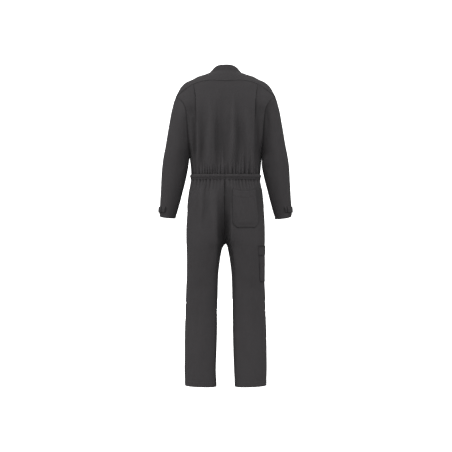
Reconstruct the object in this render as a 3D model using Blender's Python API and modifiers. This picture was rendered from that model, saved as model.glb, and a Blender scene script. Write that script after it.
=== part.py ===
"""Boiler suit: a long-sleeved one-piece work garment, hollow and filled out as if it were worn.

Every cut piece is its own cloth wall: collar, yoke, back, fronts, sleeves, cuff tabs, waistband,
trouser panels, pockets and fly. Sizes in the tables are millimetres, and the scene is in metres.
+Z is up, the front faces -Y, and the wearer's left is +X. The origin is in the middle of the neck,
where the wearer's shoulders hold the garment up.
"""
import math

import bmesh
import bpy
import numpy as np

MM = 0.001

# ---------------------------------------------------------------- driving dimensions, millimetres

WALL = 1.6                # cloth with its seam allowance
COLLAR_WALL = 2.6         # two layers of cloth
SEAM_PULL = 0.3           # each border is drawn back by this from the seam line
STEEP_SEAM_PULL = 0.6     # the same round the armhole and along the yoke, where the walls turn sharply
UNDERARM_EASE = 0.9       # the sleeve starts this much further out under the arm
PATCH_LIFT = 0.75         # clear space between a panel and what is sewn on it

UNDERARM_Z = -420.0       # where sleeve, side seam and armhole meet
YOKE_END_Z = -132.0       # yoke seam at the shoulder tip
WAIST_TOP_Z = -513.0      # top and bottom edge of the elastic tunnel
WAIST_LOW_Z = -541.0
CUFF_Z = -729.0

BACK_COLUMNS = 40         # across the back, from side seam to side seam
YOKE_ROWS = 5
YOKE_FRONT_COLUMNS = 3    # the part of the yoke that wraps to the front, on each side
NECK_FRONT_COLUMNS = 6    # front neckline of one front
LEG_COLUMNS = 10

WAIST_BULGE_BACK = 4.0    # how far the elastic tunnel stands out, behind and in front
WAIST_BULGE_FRONT = 1.2
PLEAT_STEP = 2.6          # drop from the middle of the back to the pleat's underlay

FLY_HALF_WIDTH = 26.0
FLY_TOP_Z = -80.0
FLY_LOW_Z = -742.0
STUD_RADIUS = 7.5
STUD_HEIGHTS = (-100.0, -192.0, -284.0, -376.0, -468.0, -576.0, -644.0, -712.0)


def table(columns, rows):
    """A table with named columns, kept as one array for each column."""
    names = columns.split()
    return {name: np.array([float(row[i]) for row in rows]) for i, name in enumerate(names)}


# Torso and shoulders. Below the shoulder tip half_width runs on inside the sleeve to the underarm.
BODY = table("z half_width back front power", [
    (12, 60, 68, 68, 1.95),
    (4, 67, 72, 74, 1.95),
    (-7, 80, 78, 79, 1.86),
    (-11, 92, 80, 81, 1.82),
    (-16, 104, 83, 84, 1.80),
    (-25, 136, 87, 88, 1.72),
    (-40, 165, 94, 93, 1.70),
    (-55, 197, 99, 97, 1.70),
    (-70, 215, 103, 101, 1.72),
    (-85, 227, 107, 105, 1.76),
    (-100, 235, 110, 109, 1.82),
    (-130, 249, 116, 118, 2.00),
    (-165, 256, 121, 126, 2.20),
    (-190, 250, 124, 130, 2.30),
    (-250, 228, 128, 135, 2.35),
    (-340, 203, 127, 134, 2.35),
    (-420, 181, 122, 128, 2.35),
    (-450, 178, 119, 125, 2.35),
    (-490, 174, 116, 120, 2.35),
    (-513, 172, 114, 117, 2.35),
    (-541, 172, 114, 115, 2.35),
])

# Side edge of the back and of the front, as the distance from the middle along the armhole.
ARMHOLE = table("z x", [
    (-140, 233),
    (-150, 220),
    (-165, 208),
    (-190, 197),
    (-220, 193),
    (-260, 190.5),
    (-300, 188.5),
    (-345, 185.5),
    (-385, 182.5),
    (-408, 180.5),
])
BACK_ROW_HEIGHTS = (-132, -140, -150, -165, -190, -220, -260, -300, -345, -385, -408, -420,
                    -446, -470, -488, -501, -513)
FRONT_ROW_HEIGHTS = (-150, -165, -190, -220, -260, -300, -345, -385, -408, -420,
                     -446, -480, -513)

YOKE_SEAM = table("x z", [
    (0, -57),
    (40, -54),
    (73, -52),
    (112, -55),
    (156, -68),
    (201, -94),
    (238, -122),
    (250, -132),
])

# Neckline: behind from the middle to the shoulder, and in front from the shoulder to the middle.
NECK_BACK = table("x z", [(0, 4), (32, 4), (57, 1), (73, -3), (80, -7)])
NECK_FRONT = table("x z", [(78, -13), (74, -22), (66, -34), (52, -49), (32, -62), (0, -70)])
YOKE_FRONT_END = (236.0, -141.0)      # where the front yoke seam meets the armhole
COLLAR_RISE = 23.5
COLLAR_LEAN = 6.0
COLLAR_SIDE_LEAN = 12.0
COLLAR_CLEARANCE = 0.6    # between the collar and the neckline, and as much again at its sides

SLEEVE = table("z outer inner depth middle_y", [
    (-128, 248, 126, 86, 0),
    (-145, 255, 132, 86, 0),
    (-175, 263.5, 139, 85, 0),
    (-205, 271, 144, 84, 0),
    (-265, 281, 152, 82, 0),
    (-325, 291, 161, 80, -1),
    (-385, 302, 172, 77, -3),
    (-420, 309, 182, 75, -5),
    (-445, 313, 184, 73, -6),
    (-490, 318, 189, 70, -9),
    (-520, 320, 194, 68, -11),
    (-580, 323, 208, 63, -16),
    (-640, 327, 224, 57, -22),
    (-700, 332, 241, 50, -28),
    (-727, 334, 249, 48, -30),
])
SLEEVE_STEPS = (0, 0.02, 0.055, 0.1, 0.16, 0.24, 0.33, 0.43, 0.54, 0.65, 0.76, 0.87, 0.945, 1)
CUFF_RISE = 9.0           # the hem of the sleeve is this much higher on its outer side

# One leg with its half of the seat. Above the crotch, inner lies past the middle of the garment,
# and the panel ends at the middle. Below it, inner is the inseam.
LEG = table("z outer inner back front middle_y", [
    (-541, 172.5, -172.5, 115, 115, 0),
    (-580, 178, -178, 124, 114, 0),
    (-640, 185.5, -184, 131, 113, 0),
    (-700, 190.5, -168, 131, 111, 0),
    (-745, 193.5, -125, 128, 108, 0),
    (-790, 195.5, -74, 122, 104, 0),
    (-820, 195.5, -40, 117, 101, 0),
    (-840, 195.5, -18, 113, 99, 0),
    (-852, 195.3, -5, 110, 98, 0),
    (-858, 194.8, 0.4, 109, 97, 0),
    (-865, 194.5, 7, 107, 96, 0),
    (-880, 194, 13.5, 105, 95, -1),
    (-910, 193.5, 20, 102, 93, -2),
    (-940, 193, 25, 100, 92, -3),
    (-1015, 193, 33, 96, 88, -6),
    (-1090, 196, 36, 91, 85, -8),
    (-1195, 200, 38, 86, 82, -8),
    (-1315, 203, 40, 83, 79, -3),
    (-1465, 204, 44.5, 80, 77, 5),
    (-1562, 202, 46.5, 78, 76, 8),
])
LEG_POWER = 2.2
# How far the seat sinks in at its centre seam, and below the crotch each thigh beside its inseam.
CLEFT = table("z depth", [
    (-541, 0), (-580, 1), (-612, 5), (-660, 12), (-715, 21), (-765, 29), (-805, 34), (-832, 32),
    (-848, 26), (-857, 20), (-866, 17), (-884, 15), (-920, 12), (-985, 7), (-1090, 3), (-1195, 0),
    (-1562, 0),
])
CLEFT_LEFT = 44.0         # the sunk part begins this far left and right of the middle
CLEFT_RIGHT = 27.0
CLEFT_THIGH = 18.0        # and on the thighs at least this far from the inseam
INSEAM_SHIFT = 3.5        # both inseams lie this much further to the left
HEM_TILT = 3.0            # the hems of the legs are this much lower at the inseam
LEG_ROW_HEIGHTS = (-541, -550, -564, -584, -612, -660, -715, -765, -805, -832, -848,
                   -857, -866, -884, -920, -985, -1090, -1195, -1315, -1440, -1562)
GATHERED_LEG_ROWS = 4     # the rows next to the waistband have twice the columns

# Gathers above the waistband: place, length up the back, and height of each soft ridge.
BACK_GATHERS = table("x length height", [
    (163, 40, 2.0), (149, 60, 2.6), (131, 85, 3.2), (108, 70, 2.8), (88, 95, 3.2),
    (70, 60, 2.4), (54, 55, 2.6), (32, 75, 3.0), (10, 110, 3.6), (-12, 60, 2.4),
    (-41, 80, 3.2), (-62, 50, 2.2), (-78, 100, 3.6), (-98, 55, 2.4), (-113, 75, 2.8),
    (-135, 90, 3.4), (-155, 60, 2.6),
])
# Gathers below it, down the seat.
SEAT_GATHERS = table("x length height", [
    (152, 35, 1.6), (131, 55, 2.4), (121, 30, 1.4), (88, 60, 2.8), (67, 40, 2.0),
    (34, 50, 2.4), (12, 35, 1.6), (-16, 35, 1.6), (-41, 45, 2.2), (-70, 50, 2.8),
    (-92, 45, 2.2), (-124, 50, 2.4), (-150, 35, 1.6),
])
GATHER_WIDTH = 6.5

# Long soft folds of the back: top and low end, height (minus for a trough) and half width.
BACK_FOLDS = table("x_top z_top x_low z_low height width", [
    (137, -150, 136, -470, 2.2, 9),
    (112, -150, 108, -430, -2.4, 14),
    (78, -90, 76, -470, 3.0, 13),
    (34, -140, 28, -430, -3.0, 22),
    (-40, -90, -44, -440, 2.6, 14),
    (-72, -140, -70, -430, -2.6, 15),
    (-112, -120, -112, -460, 2.2, 16),
])
PLEAT_LINE = table("z x", [(-60, 157), (-100, 152), (-140, 147), (-240, 144), (-330, 143)])

BACK_POCKET = table("z left right", [       # its two side edges, right of the middle
    (-590, -40, -146),
    (-600, -40, -147),
    (-628, -41, -149),
    (-660, -41, -152),
    (-700, -41, -156),
    (-745, -42, -160),
    (-762, -45, -160),
    (-772, -53, -154),
    (-778, -61, -146),
])
POCKET_SAG = 9.0          # how much the pocket's top edge dips in its middle
POCKET_COLUMNS = 8

THIGH_POCKET_Z = (-921, -1047)
THIGH_FLAP_Z = (-872, -917)
THIGH_POCKET_ANGLES = (128.5, 204.0)    # from the back edge round the outer leg to the front edge
THIGH_FLAP_ANGLES = (127.0, 205.5)
THIGH_SLANT = 0.056       # degrees that the pocket turns forward for each millimetre on its way down
THIGH_COLUMNS = 10
THIGH_LIFT = 1.4

CUFF_TAB_Z = (-680.0, -706.0)
CUFF_TAB_ANGLES = (72.0, -58.0)         # from the back of the cuff round its outer side
CUFF_TAB_COLUMNS = 10

CLOTH_COLOUR = (0.046, 0.043, 0.045)
DARK_CLOTH_COLOUR = (0.034, 0.032, 0.034)
METAL_COLOUR = (0.12, 0.12, 0.125)


# ---------------------------------------------------------------- curves and sections

def smooth(places, values, at):
    """Values read on a smooth curve through the points, with no overshoot between them."""
    order = np.argsort(places)
    places, values = places[order], values[order]
    widths = np.diff(places)
    slopes = np.diff(values) / widths
    before, after = slopes[:-1], slopes[1:]
    same_way = before * after > 0
    total = np.where(same_way, before + after, 1.0)
    inside = np.where(same_way, 2 * before * after / total, 0.0)
    tangents = np.concatenate([slopes[:1], inside, slopes[-1:]])
    at = np.clip(at, places[0], places[-1])
    i = np.clip(np.searchsorted(places, at) - 1, 0, len(places) - 2)
    t = (at - places[i]) / widths[i]
    rise = values[i] * (2 * t**3 - 3 * t**2 + 1) + values[i + 1] * (3 * t**2 - 2 * t**3)
    bend = widths[i] * (tangents[i] * (t**3 - 2 * t**2 + t) + tangents[i + 1] * (t**3 - t**2))
    return rise + bend


def read(source, column, z):
    """One column of a table at the heights z."""
    return smooth(source["z"], source[column], z)


def step(low, high, value):
    """0 below low, 1 above high, and a soft S between them."""
    t = np.clip((value - low) / (high - low), 0, 1)
    return t * t * (3 - 2 * t)


def signed_power(value, power):
    return np.sign(value) * np.abs(value) ** power


def body_point(angle, z):
    """Torso and shoulders: angle 0 is the middle of the back, 90 degrees the wearer's left."""
    power = 2 / read(BODY, "power", z)
    cosine = np.cos(angle)
    depth = np.where(cosine > 0, read(BODY, "back", z), read(BODY, "front", z))
    x = read(BODY, "half_width", z) * signed_power(np.sin(angle), power)
    return np.stack([x, depth * signed_power(cosine, power), z], axis=-1)


def body_angle(x, z, front=False):
    """The angle at which body_point reaches x at the height z."""
    share = np.clip(np.abs(x) / read(BODY, "half_width", z), 0, 1)
    angle = np.arcsin(share ** (read(BODY, "power", z) / 2))
    return np.pi - angle if front else angle


def leg_span(z, side):
    """Outer and inner edge of a leg, both in the left leg's place."""
    shift = INSEAM_SHIFT * step(-850, -890, z) * step(-1562, -1480, z)
    return read(LEG, "outer", z), read(LEG, "inner", z) + side * shift


def leg_start(z, side):
    """The angle where a leg panel starts: at the middle of the seat, or at the inseam."""
    outer, inner = leg_span(z, side)
    share = np.clip((outer + inner) / (outer - inner), 0, 1)
    return np.arccos(share ** (LEG_POWER / 2))


def leg_point(angle, z, side):
    """A leg and its half of the seat: 0 is the inseam, 90 degrees the back, 180 the outseam."""
    outer, inner = leg_span(z, side)
    sine = np.sin(angle)
    depth = np.where(sine > 0, read(LEG, "back", z), read(LEG, "front", z))
    x = (outer + inner) / 2 - (outer - inner) / 2 * signed_power(np.cos(angle), 2 / LEG_POWER)
    y = read(LEG, "middle_y", z) + depth * signed_power(sine, 2 / LEG_POWER)
    return np.stack([x, y, z], axis=-1)


def seat_cleft(x, z, angle):
    """How far the back of the trousers sinks in between the two halves of the seat."""
    inner = np.maximum(read(LEG, "inner", z), 0)
    edge = np.maximum(np.where(x > 0, CLEFT_LEFT, CLEFT_RIGHT), inner + CLEFT_THIGH)
    share = np.clip((edge - np.abs(x)) / (edge - inner), 0, 1)
    return read(CLEFT, "depth", z) * share**1.2 * step(0, 0.6, angle)


def sleeve_point(angle, z):
    """The left sleeve: angle 0 is its outer side, 90 degrees its back and 180 its inner side."""
    outer, inner = read(SLEEVE, "outer", z), read(SLEEVE, "inner", z)
    x = (outer + inner) / 2 + (outer - inner) / 2 * np.cos(angle)
    y = read(SLEEVE, "middle_y", z) + read(SLEEVE, "depth", z) * np.sin(angle)
    return np.stack([x, y, z], axis=-1)


def raised(surface, angle, z, height, *side):
    """Points of a surface, moved out along its normal by height."""
    nudge = 1e-4
    along = surface(angle + nudge, z, *side) - surface(angle - nudge, z, *side)
    up = surface(angle, z + 50 * nudge, *side) - surface(angle, z - 50 * nudge, *side)
    normal = np.cross(up, along)
    normal /= np.maximum(np.linalg.norm(normal, axis=-1, keepdims=True), 1e-12)
    return surface(angle, z, *side) + normal * np.expand_dims(height, -1)


# ---------------------------------------------------------------- folds

def soft_folds(source, x, z):
    """Height of the long soft ridges and troughs of a table at x and z."""
    height = np.zeros_like(x)
    for x_top, z_top, x_low, z_low, size, width in zip(*source.values()):
        t = np.clip((z_top - z) / (z_top - z_low), 0, 1)
        across = np.exp(-((x - x_top - (x_low - x_top) * t) / width) ** 2)
        height += size * np.sin(np.pi * t) ** 0.7 * across
    return height


def gathers(source, x, distance):
    """Height of the gathers of a table, at a distance from the seam that holds them."""
    height = np.zeros_like(x)
    for place, length, size in zip(*source.values()):
        fade = np.clip(1 - distance / length, 0, 1) ** 1.3
        across = np.exp(-((x - place) / GATHER_WIDTH) ** 2)
        height += size * fade * (across - 0.3)
    return height


def pleat_drop(x, z):
    """Drop of the back outside the two action pleats, down to where they open out."""
    line = read(PLEAT_LINE, "x", z)
    outside = step(-4, 4, np.abs(x) - line)
    seam = step(-52, -100, z)
    return -PLEAT_STEP * outside * seam * step(-340, -200, z) * step(195, 170, np.abs(x))


# ---------------------------------------------------------------- cloth walls

def material(name, colour, roughness, metallic=0.0):
    finish = bpy.data.materials.new(name)
    finish.use_nodes = True
    shader = finish.node_tree.nodes["Principled BSDF"]
    shader.inputs["Base Color"].default_value = (*colour, 1)
    shader.inputs["Roughness"].default_value = roughness
    shader.inputs["Metallic"].default_value = metallic
    finish.diffuse_color = (*colour, 1)
    return finish


def towards(points, inside, distance):
    """Points moved by a distance towards the points inside them."""
    way = inside - points
    return points + way / np.linalg.norm(way, axis=-1, keepdims=True) * distance


def drawn_back(rows, borders, distance=SEAM_PULL):
    """Rows of points with the named borders drawn back from their seams."""
    rows = [row.copy() for row in rows]
    for row in rows:
        if "start" in borders:
            row[0] = towards(row[0], row[1], distance)
        if "end" in borders:
            row[-1] = towards(row[-1], row[-2], distance)
    if "top" in borders:
        rows[0] = towards(rows[0], rows[1], distance)
    if "low" in borders:
        rows[-1] = towards(rows[-1], rows[-2], distance)
    return rows


def loft_faces(upper, lower):
    """Faces between two rows of vertices, the lower of which may have a half of the columns."""
    if len(upper) == len(lower):
        return [(upper[i], lower[i], lower[i + 1], upper[i + 1]) for i in range(len(upper) - 1)]
    faces = []
    for i in range(len(lower) - 1):
        left, middle, right = upper[2 * i:2 * i + 3]
        faces.append((left, lower[i], middle))
        faces.append((middle, lower[i], lower[i + 1]))
        faces.append((middle, lower[i + 1], right))
    return faces


def cloth(name, rows, finish, side=1, closed=False, wall=WALL):
    """A cloth wall lofted through rows of points, top row first, seen from outside left to right.

    side -1 mirrors it to the wearer's right, and closed joins each row into a ring.
    """
    sheet = bmesh.new()
    vertices = [[sheet.verts.new(point * (side * MM, MM, MM)) for point in row] for row in rows]
    for upper, lower in zip(vertices, vertices[1:]):
        ring = [(row + row[:1]) if closed else row for row in (upper, lower)]
        for face in loft_faces(*ring):
            sheet.faces.new(face if side > 0 else face[::-1])
    data = bpy.data.meshes.new(name)
    sheet.to_mesh(data)
    sheet.free()
    data.materials.append(finish)
    piece = bpy.data.objects.new(name, data)
    PARTS.objects.link(piece)
    solid = piece.modifiers.new("Wall", "SOLIDIFY")
    solid.thickness = wall * MM
    solid.offset = -1
    return piece


def reversed_rows(rows):
    """The same rows, seen from the other side of the cloth."""
    return [row[::-1] for row in rows]


# ---------------------------------------------------------------- upper pieces

def back_edge_angle(z):
    """Angle of the side of the back: the armhole, and the side seam under it."""
    along_armhole = body_angle(read(ARMHOLE, "x", z), z)
    return np.where((z <= UNDERARM_Z) | (z >= YOKE_END_Z), np.pi / 2, along_armhole)


def yoke_seam_height(angle):
    seam_angles = body_angle(YOKE_SEAM["x"], YOKE_SEAM["z"])
    return smooth(seam_angles, YOKE_SEAM["z"], np.abs(angle))


def back_height(x, z):
    folds = soft_folds(BACK_FOLDS, x, z) * step(195, 165, np.abs(x))
    return folds + pleat_drop(x, z) + gathers(BACK_GATHERS, x, z - WAIST_TOP_Z)


def back_rows():
    """The back, from the yoke seam to the waistband."""
    across = np.linspace(1, -1, BACK_COLUMNS + 1)
    top = yoke_seam_height(across * np.pi / 2)
    rows = []
    for edge_z in BACK_ROW_HEIGHTS:
        share = (edge_z - YOKE_END_Z) / (WAIST_TOP_Z - YOKE_END_Z)
        z = top + (WAIST_TOP_Z - top) * share
        angle = across * back_edge_angle(np.array(float(edge_z)))
        x = body_point(angle, z)[..., 0]
        rows.append(raised(body_point, angle, z, back_height(x, z)))
    return rows


def neck_line():
    """The neckline of the left half as angle and height, for the yoke and for the front."""
    back = np.linspace(0, NECK_BACK["x"][-1], BACK_COLUMNS // 2 + 1)
    back_z = smooth(NECK_BACK["x"], NECK_BACK["z"], back)
    side_x, side_z = NECK_BACK["x"][-1], NECK_BACK["z"][-1]
    end_x, end_z = NECK_FRONT["x"][0], NECK_FRONT["z"][0]
    yoke_front_z = np.linspace(side_z, end_z, YOKE_FRONT_COLUMNS + 1)[1:]
    yoke_front_x = np.linspace(side_x, end_x, YOKE_FRONT_COLUMNS + 1)[1:]
    front_x = end_x * np.cos(np.linspace(0, np.pi / 2, NECK_FRONT_COLUMNS + 1))
    front_z = smooth(NECK_FRONT["x"], NECK_FRONT["z"], front_x)
    back_angle = body_angle(back, back_z)
    yoke_front_angle = body_angle(yoke_front_x, yoke_front_z, front=True)
    front_angle = body_angle(front_x, front_z, front=True)
    yoke = (np.concatenate([back_angle, yoke_front_angle]), np.concatenate([back_z, yoke_front_z]))
    return yoke, (front_angle, front_z)


def yoke_half():
    """Angles and heights of the yoke's left half, rows from the neck to the outer edge."""
    (neck_angle, neck_z), _ = neck_line()
    seam_angle = np.linspace(0, np.pi / 2, BACK_COLUMNS // 2 + 1)
    end_x, end_z = YOKE_FRONT_END
    end_angle = body_angle(np.array(end_x), np.array(end_z), front=True)
    wrap = np.linspace(0, 1, YOKE_FRONT_COLUMNS + 1)[1:]
    outer_angle = np.concatenate([seam_angle, np.pi / 2 + (end_angle - np.pi / 2) * wrap])
    outer_z = np.concatenate([yoke_seam_height(seam_angle), YOKE_END_Z + (end_z - YOKE_END_Z) * wrap])
    shares = np.linspace(0, 1, YOKE_ROWS + 1)
    angles = [neck_angle + (outer_angle - neck_angle) * t for t in shares]
    heights = [neck_z + (outer_z - neck_z) * t**1.5 for t in shares]
    return angles, heights


def yoke_rows():
    rows = []
    for angle, z in zip(*yoke_half()):
        left = body_point(angle, z)
        right = left[1:] * (-1, 1, 1)
        rows.append(np.concatenate([left[::-1], right]))
    return rows


def front_edge_angle(z):
    return np.pi - back_edge_angle(z)


def front_rows():
    """The left front, from its neckline and yoke seam to the waistband, armhole side first."""
    yoke_angles, yoke_heights = yoke_half()
    _, (neck_angle, neck_z) = neck_line()
    top_angle = np.concatenate([[row[-1] for row in yoke_angles[::-1]], neck_angle[1:]])
    top_z = np.concatenate([[row[-1] for row in yoke_heights[::-1]], neck_z[1:]])
    across = np.linspace(1, 0, len(top_z))
    rows = [body_point(top_angle, top_z)]
    top_edge_z = YOKE_FRONT_END[1]
    for edge_z in FRONT_ROW_HEIGHTS:
        share = (edge_z - top_edge_z) / (WAIST_TOP_Z - top_edge_z)
        z = top_z + (WAIST_TOP_Z - top_z) * share
        edge_turn = np.pi - front_edge_angle(np.array(float(edge_z)))
        even = edge_turn * across
        like_top = (np.pi - top_angle) * edge_turn / (np.pi - top_angle[0])
        turn = like_top + (even - like_top) * min(1, share * 2.5)
        rows.append(body_point(np.pi - turn, z))
    return rows


def collar_rows():
    """The stand collar, from its top edge to the neckline, with its ends at the middle front."""
    (yoke_angle, yoke_z), (front_angle, front_z) = neck_line()
    angle = np.concatenate([yoke_angle, front_angle[1:]])
    z = np.concatenate([yoke_z, front_z[1:]])
    half = body_point(angle, z)
    ring = np.concatenate([half[::-1], half[1:] * (-1, 1, 1)])
    sideways = (np.abs(ring[:, 0]) / 80) ** 2
    lean = COLLAR_LEAN + COLLAR_SIDE_LEAN * sideways
    inward = -ring[:, :2] / np.linalg.norm(ring[:, :2], axis=1, keepdims=True)
    rows = []
    for share in (1.0, 0.5, 0.0):
        row = ring.copy()
        bow = math.sin(math.pi * share) * 1.5
        row[:, :2] += inward * (lean * share - bow)[:, None]
        row[:, 2] += (COLLAR_RISE - 5 * sideways) * share + COLLAR_CLEARANCE * (1 + sideways)
        rows.append(row)
    return rows


def armhole_loop():
    """The left armhole as a ring: shoulder, down the back to the underarm, and up the front."""
    back = np.array([row[0] for row in back_rows()])[:len(BACK_ROW_HEIGHTS) - 5]
    front_all = np.array([row[0] for row in front_rows()])
    front = front_all[:FRONT_ROW_HEIGHTS.index(-420) + 2][::-1][1:]
    yoke = np.array([yoke_rows()[-1][i] for i in range(1, YOKE_FRONT_COLUMNS)])
    return np.concatenate([back, front, yoke])


def sleeve_rows():
    """The left sleeve: rings from the armhole, each lower and rounder, to the cuff."""
    loop = armhole_loop()
    loop[:, 0] += UNDERARM_EASE * step(-370, UNDERARM_Z, loop[:, 2])
    lower_edge = int(np.argmin(loop[:, 2]))
    lengths = np.linalg.norm(np.diff(np.vstack([loop, loop[:1]]), axis=0), axis=1)
    travelled = np.concatenate([[0], np.cumsum(lengths)[:-1]])
    behind = travelled / travelled[lower_edge] * np.pi
    in_front = np.pi + (travelled - travelled[lower_edge]) / (lengths.sum() - travelled[lower_edge]) * np.pi
    even = np.where(np.arange(len(loop)) <= lower_edge, behind, in_front)
    z = loop[:, 2]
    middle_x = (read(SLEEVE, "outer", z) + read(SLEEVE, "inner", z)) / 2
    half_width = (read(SLEEVE, "outer", z) - read(SLEEVE, "inner", z)) / 2
    start = np.arctan2((loop[:, 1] - read(SLEEVE, "middle_y", z)) / read(SLEEVE, "depth", z),
                       (loop[:, 0] - middle_x) / half_width)
    start = np.unwrap(start)
    start[0] = 0 if abs(start[0]) < 0.3 else start[0]
    offset = loop - sleeve_point(start, z)
    low_z = CUFF_Z + CUFF_RISE * (0.5 + 0.5 * np.cos(even)) ** 2.5
    rows = []
    for share in SLEEVE_STEPS:
        height = z + (low_z - z) * share
        angle = start + (even - start) * step(0, 0.75, share)
        fade = np.exp(-(z - height) / 45)[:, None]
        rows.append(sleeve_point(angle, height) + offset * fade)
    return rows


def waist_rows(angles, bulge, folded):
    """A stretch of the waistband between two angles, rounded out by its elastic."""
    rows = []
    for share in (0, 0.12, 0.5, 0.88, 1):
        z = np.full_like(angles, WAIST_TOP_Z + (WAIST_LOW_Z - WAIST_TOP_Z) * share)
        height = np.full_like(angles, bulge * math.sin(math.pi * share) ** 0.6)
        if folded:
            x = body_point(angles, z)[..., 0]
            above = gathers(BACK_GATHERS, x, 12 + 40 * share) if share < 1 else 0 * x
            below = gathers(SEAT_GATHERS, x, 12 + 40 * (1 - share)) if share > 0 else 0 * x
            height = height + 0.6 * above + 0.6 * below
            height = height + (gathers(BACK_GATHERS, x, 0 * x) if share == 0 else 0)
            height = height + (gathers(SEAT_GATHERS, x, 0 * x) if share == 1 else 0)
        rows.append(raised(body_point, angles, z, height))
    return rows


# ---------------------------------------------------------------- trousers

def leg_angles(z, columns, side, front):
    start = leg_start(z, side)
    angle = start + (np.pi - start) * np.linspace(0, 1, columns + 1)
    return -angle if front else angle


def leg_rows(side, front):
    """A front or back leg panel in its left-hand place, from the waistband to the hem."""
    rows = []
    for i, row_z in enumerate(LEG_ROW_HEIGHTS):
        gathered = not front and i < GATHERED_LEG_ROWS
        columns = LEG_COLUMNS * (2 if gathered else 1)
        z = np.full(columns + 1, float(row_z))
        angle = leg_angles(z, columns, side, front)
        x = leg_point(angle, z, side)[..., 0] * side
        height = 0 * x if front else gathers(SEAT_GATHERS, x, WAIST_LOW_Z - z)
        row = raised(leg_point, angle, z, height, side)
        if not front:
            row[:, 1] -= seat_cleft(x, z, angle)
        row[:, 2] -= HEM_TILT * np.cos(angle) * step(-1400, LEG_ROW_HEIGHTS[-1], z)
        rows.append(row)
    return rows


# ---------------------------------------------------------------- pieces sewn on

def back_pocket_rows():
    """The patch pocket on the right of the seat, on the panel under it and moved out."""
    rows = []
    across = np.linspace(0, 1, POCKET_COLUMNS + 1)
    for row_z, left, right in zip(*BACK_POCKET.values()):
        x = -(left + (right - left) * across)
        sag = POCKET_SAG * np.sin(np.pi * across) * step(-720, -590, np.array(row_z))
        z = row_z - sag
        outer, inner = leg_span(z, -1)
        share = ((outer + inner) / 2 - x) / ((outer - inner) / 2)
        angle = np.arccos(signed_power(share, LEG_POWER / 2))
        bulge = 2.0 * np.sin(np.pi * across) * step(-600, -740, np.array(row_z))
        lift = PATCH_LIFT + WALL + bulge + np.maximum(gathers(SEAT_GATHERS, -x, WAIST_LOW_Z - z), 0)
        rows.append(raised(leg_point, angle, z, lift, -1))
    return rows


def thigh_rows(heights, angles, count):
    """A patch round the outer side of the right leg, sewn down at its edges and full between them."""
    rows = []
    across = np.linspace(0, 1, THIGH_COLUMNS + 1)
    for row_z in np.linspace(*heights, count):
        z = np.full(THIGH_COLUMNS + 1, row_z)
        turn = THIGH_SLANT * max(0.0, THIGH_POCKET_Z[0] - row_z)
        angle = np.radians(angles[0] + (angles[1] - angles[0]) * across + turn)
        fullness = THIGH_LIFT * np.sin(np.pi * across) ** 0.5
        rows.append(raised(leg_point, angle, z, PATCH_LIFT + WALL + fullness, -1))
    return rows


def cuff_tab_rows():
    """The tab that narrows the cuff, on the back and outer side of the left sleeve."""
    rows = []
    for row_z in np.linspace(*CUFF_TAB_Z, 4):
        angle = np.radians(np.linspace(*CUFF_TAB_ANGLES, CUFF_TAB_COLUMNS + 1))
        z = np.full_like(angle, row_z)
        flat = sleeve_point(angle, z)
        out = np.stack([np.cos(angle), np.sin(angle), 0 * angle], axis=-1)
        rows.append(flat + out * (PATCH_LIFT + WALL + 0.3))
    return rows


def front_surface(x, z):
    """The middle of the front, over fronts, waistband and trousers, out to a small x."""
    upper = body_point(body_angle(x, z, front=True), z)[..., 1]
    lower = -read(LEG, "front", z) + 0.5
    share = step(-530, -550, z)
    y = upper + (lower - upper) * share
    band = step(-500, WAIST_TOP_Z, z) * step(-555, WAIST_LOW_Z, z)
    return y - WAIST_BULGE_FRONT * band


def fly_rows():
    """The covering strip of the front opening, from under the collar to the seat."""
    rows = []
    across = np.linspace(-1, 1, 5)
    heights = np.linspace(FLY_TOP_Z, FLY_LOW_Z, 25)
    for row_z in heights:
        z = np.full_like(across, row_z)
        x = FLY_HALF_WIDTH * across
        y = front_surface(np.abs(x), z) - PATCH_LIFT - WALL - 0.5
        rows.append(np.stack([x, y, z], axis=-1))
    return rows


def press_stud(number, z):
    """A press-stud cap on the fly, a low turned dome with its axis along the front's normal."""
    point = front_surface(np.array([0.0, 0.0]), np.array([z + 5, z - 5]))
    tilt = math.atan2(point[0] - point[1], 10)
    y = point.mean() - PATCH_LIFT - WALL - 0.5 - 0.35 - 1.1
    bpy.ops.mesh.primitive_cylinder_add(vertices=14, radius=STUD_RADIUS * MM, depth=2.2 * MM,
                                        location=(0, y * MM, z * MM),
                                        rotation=(math.pi / 2 - tilt, 0, 0))
    stud = bpy.context.object
    stud.name = f"press_stud_{number}"
    stud.data.name = stud.name
    bevel = stud.modifiers.new("Dome", "BEVEL")
    bevel.width = 0.7 * MM
    bevel.segments = 1
    bevel.limit_method = "ANGLE"
    for collection in stud.users_collection:
        collection.objects.unlink(stud)
    PARTS.objects.link(stud)
    stud.data.materials.append(METAL)


# ---------------------------------------------------------------- the garment

def build_upper():
    cloth("collar", drawn_back(collar_rows(), ("start", "end")), DARK_CLOTH, wall=COLLAR_WALL)
    yoke = drawn_back(yoke_rows(), ("top", "start", "end"))
    cloth("yoke", drawn_back(yoke, ("low",), STEEP_SEAM_PULL), CLOTH)
    back = drawn_back(back_rows(), ("low", "start", "end"))
    cloth("back", drawn_back(back, ("top",), STEEP_SEAM_PULL), CLOTH)
    front = drawn_back(reversed_rows(front_rows()), ("top", "low", "start", "end"))
    sleeve = drawn_back(sleeve_rows(), ("top",), STEEP_SEAM_PULL)
    tab = cuff_tab_rows()
    for side, word in ((1, "left"), (-1, "right")):
        cloth(f"front_{word}", front, CLOTH, side=side)
        cloth(f"sleeve_{word}", sleeve, CLOTH, side=side, closed=True)
        cloth(f"cuff_tab_{word}", reversed_rows(tab), CLOTH, side=side)


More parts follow.
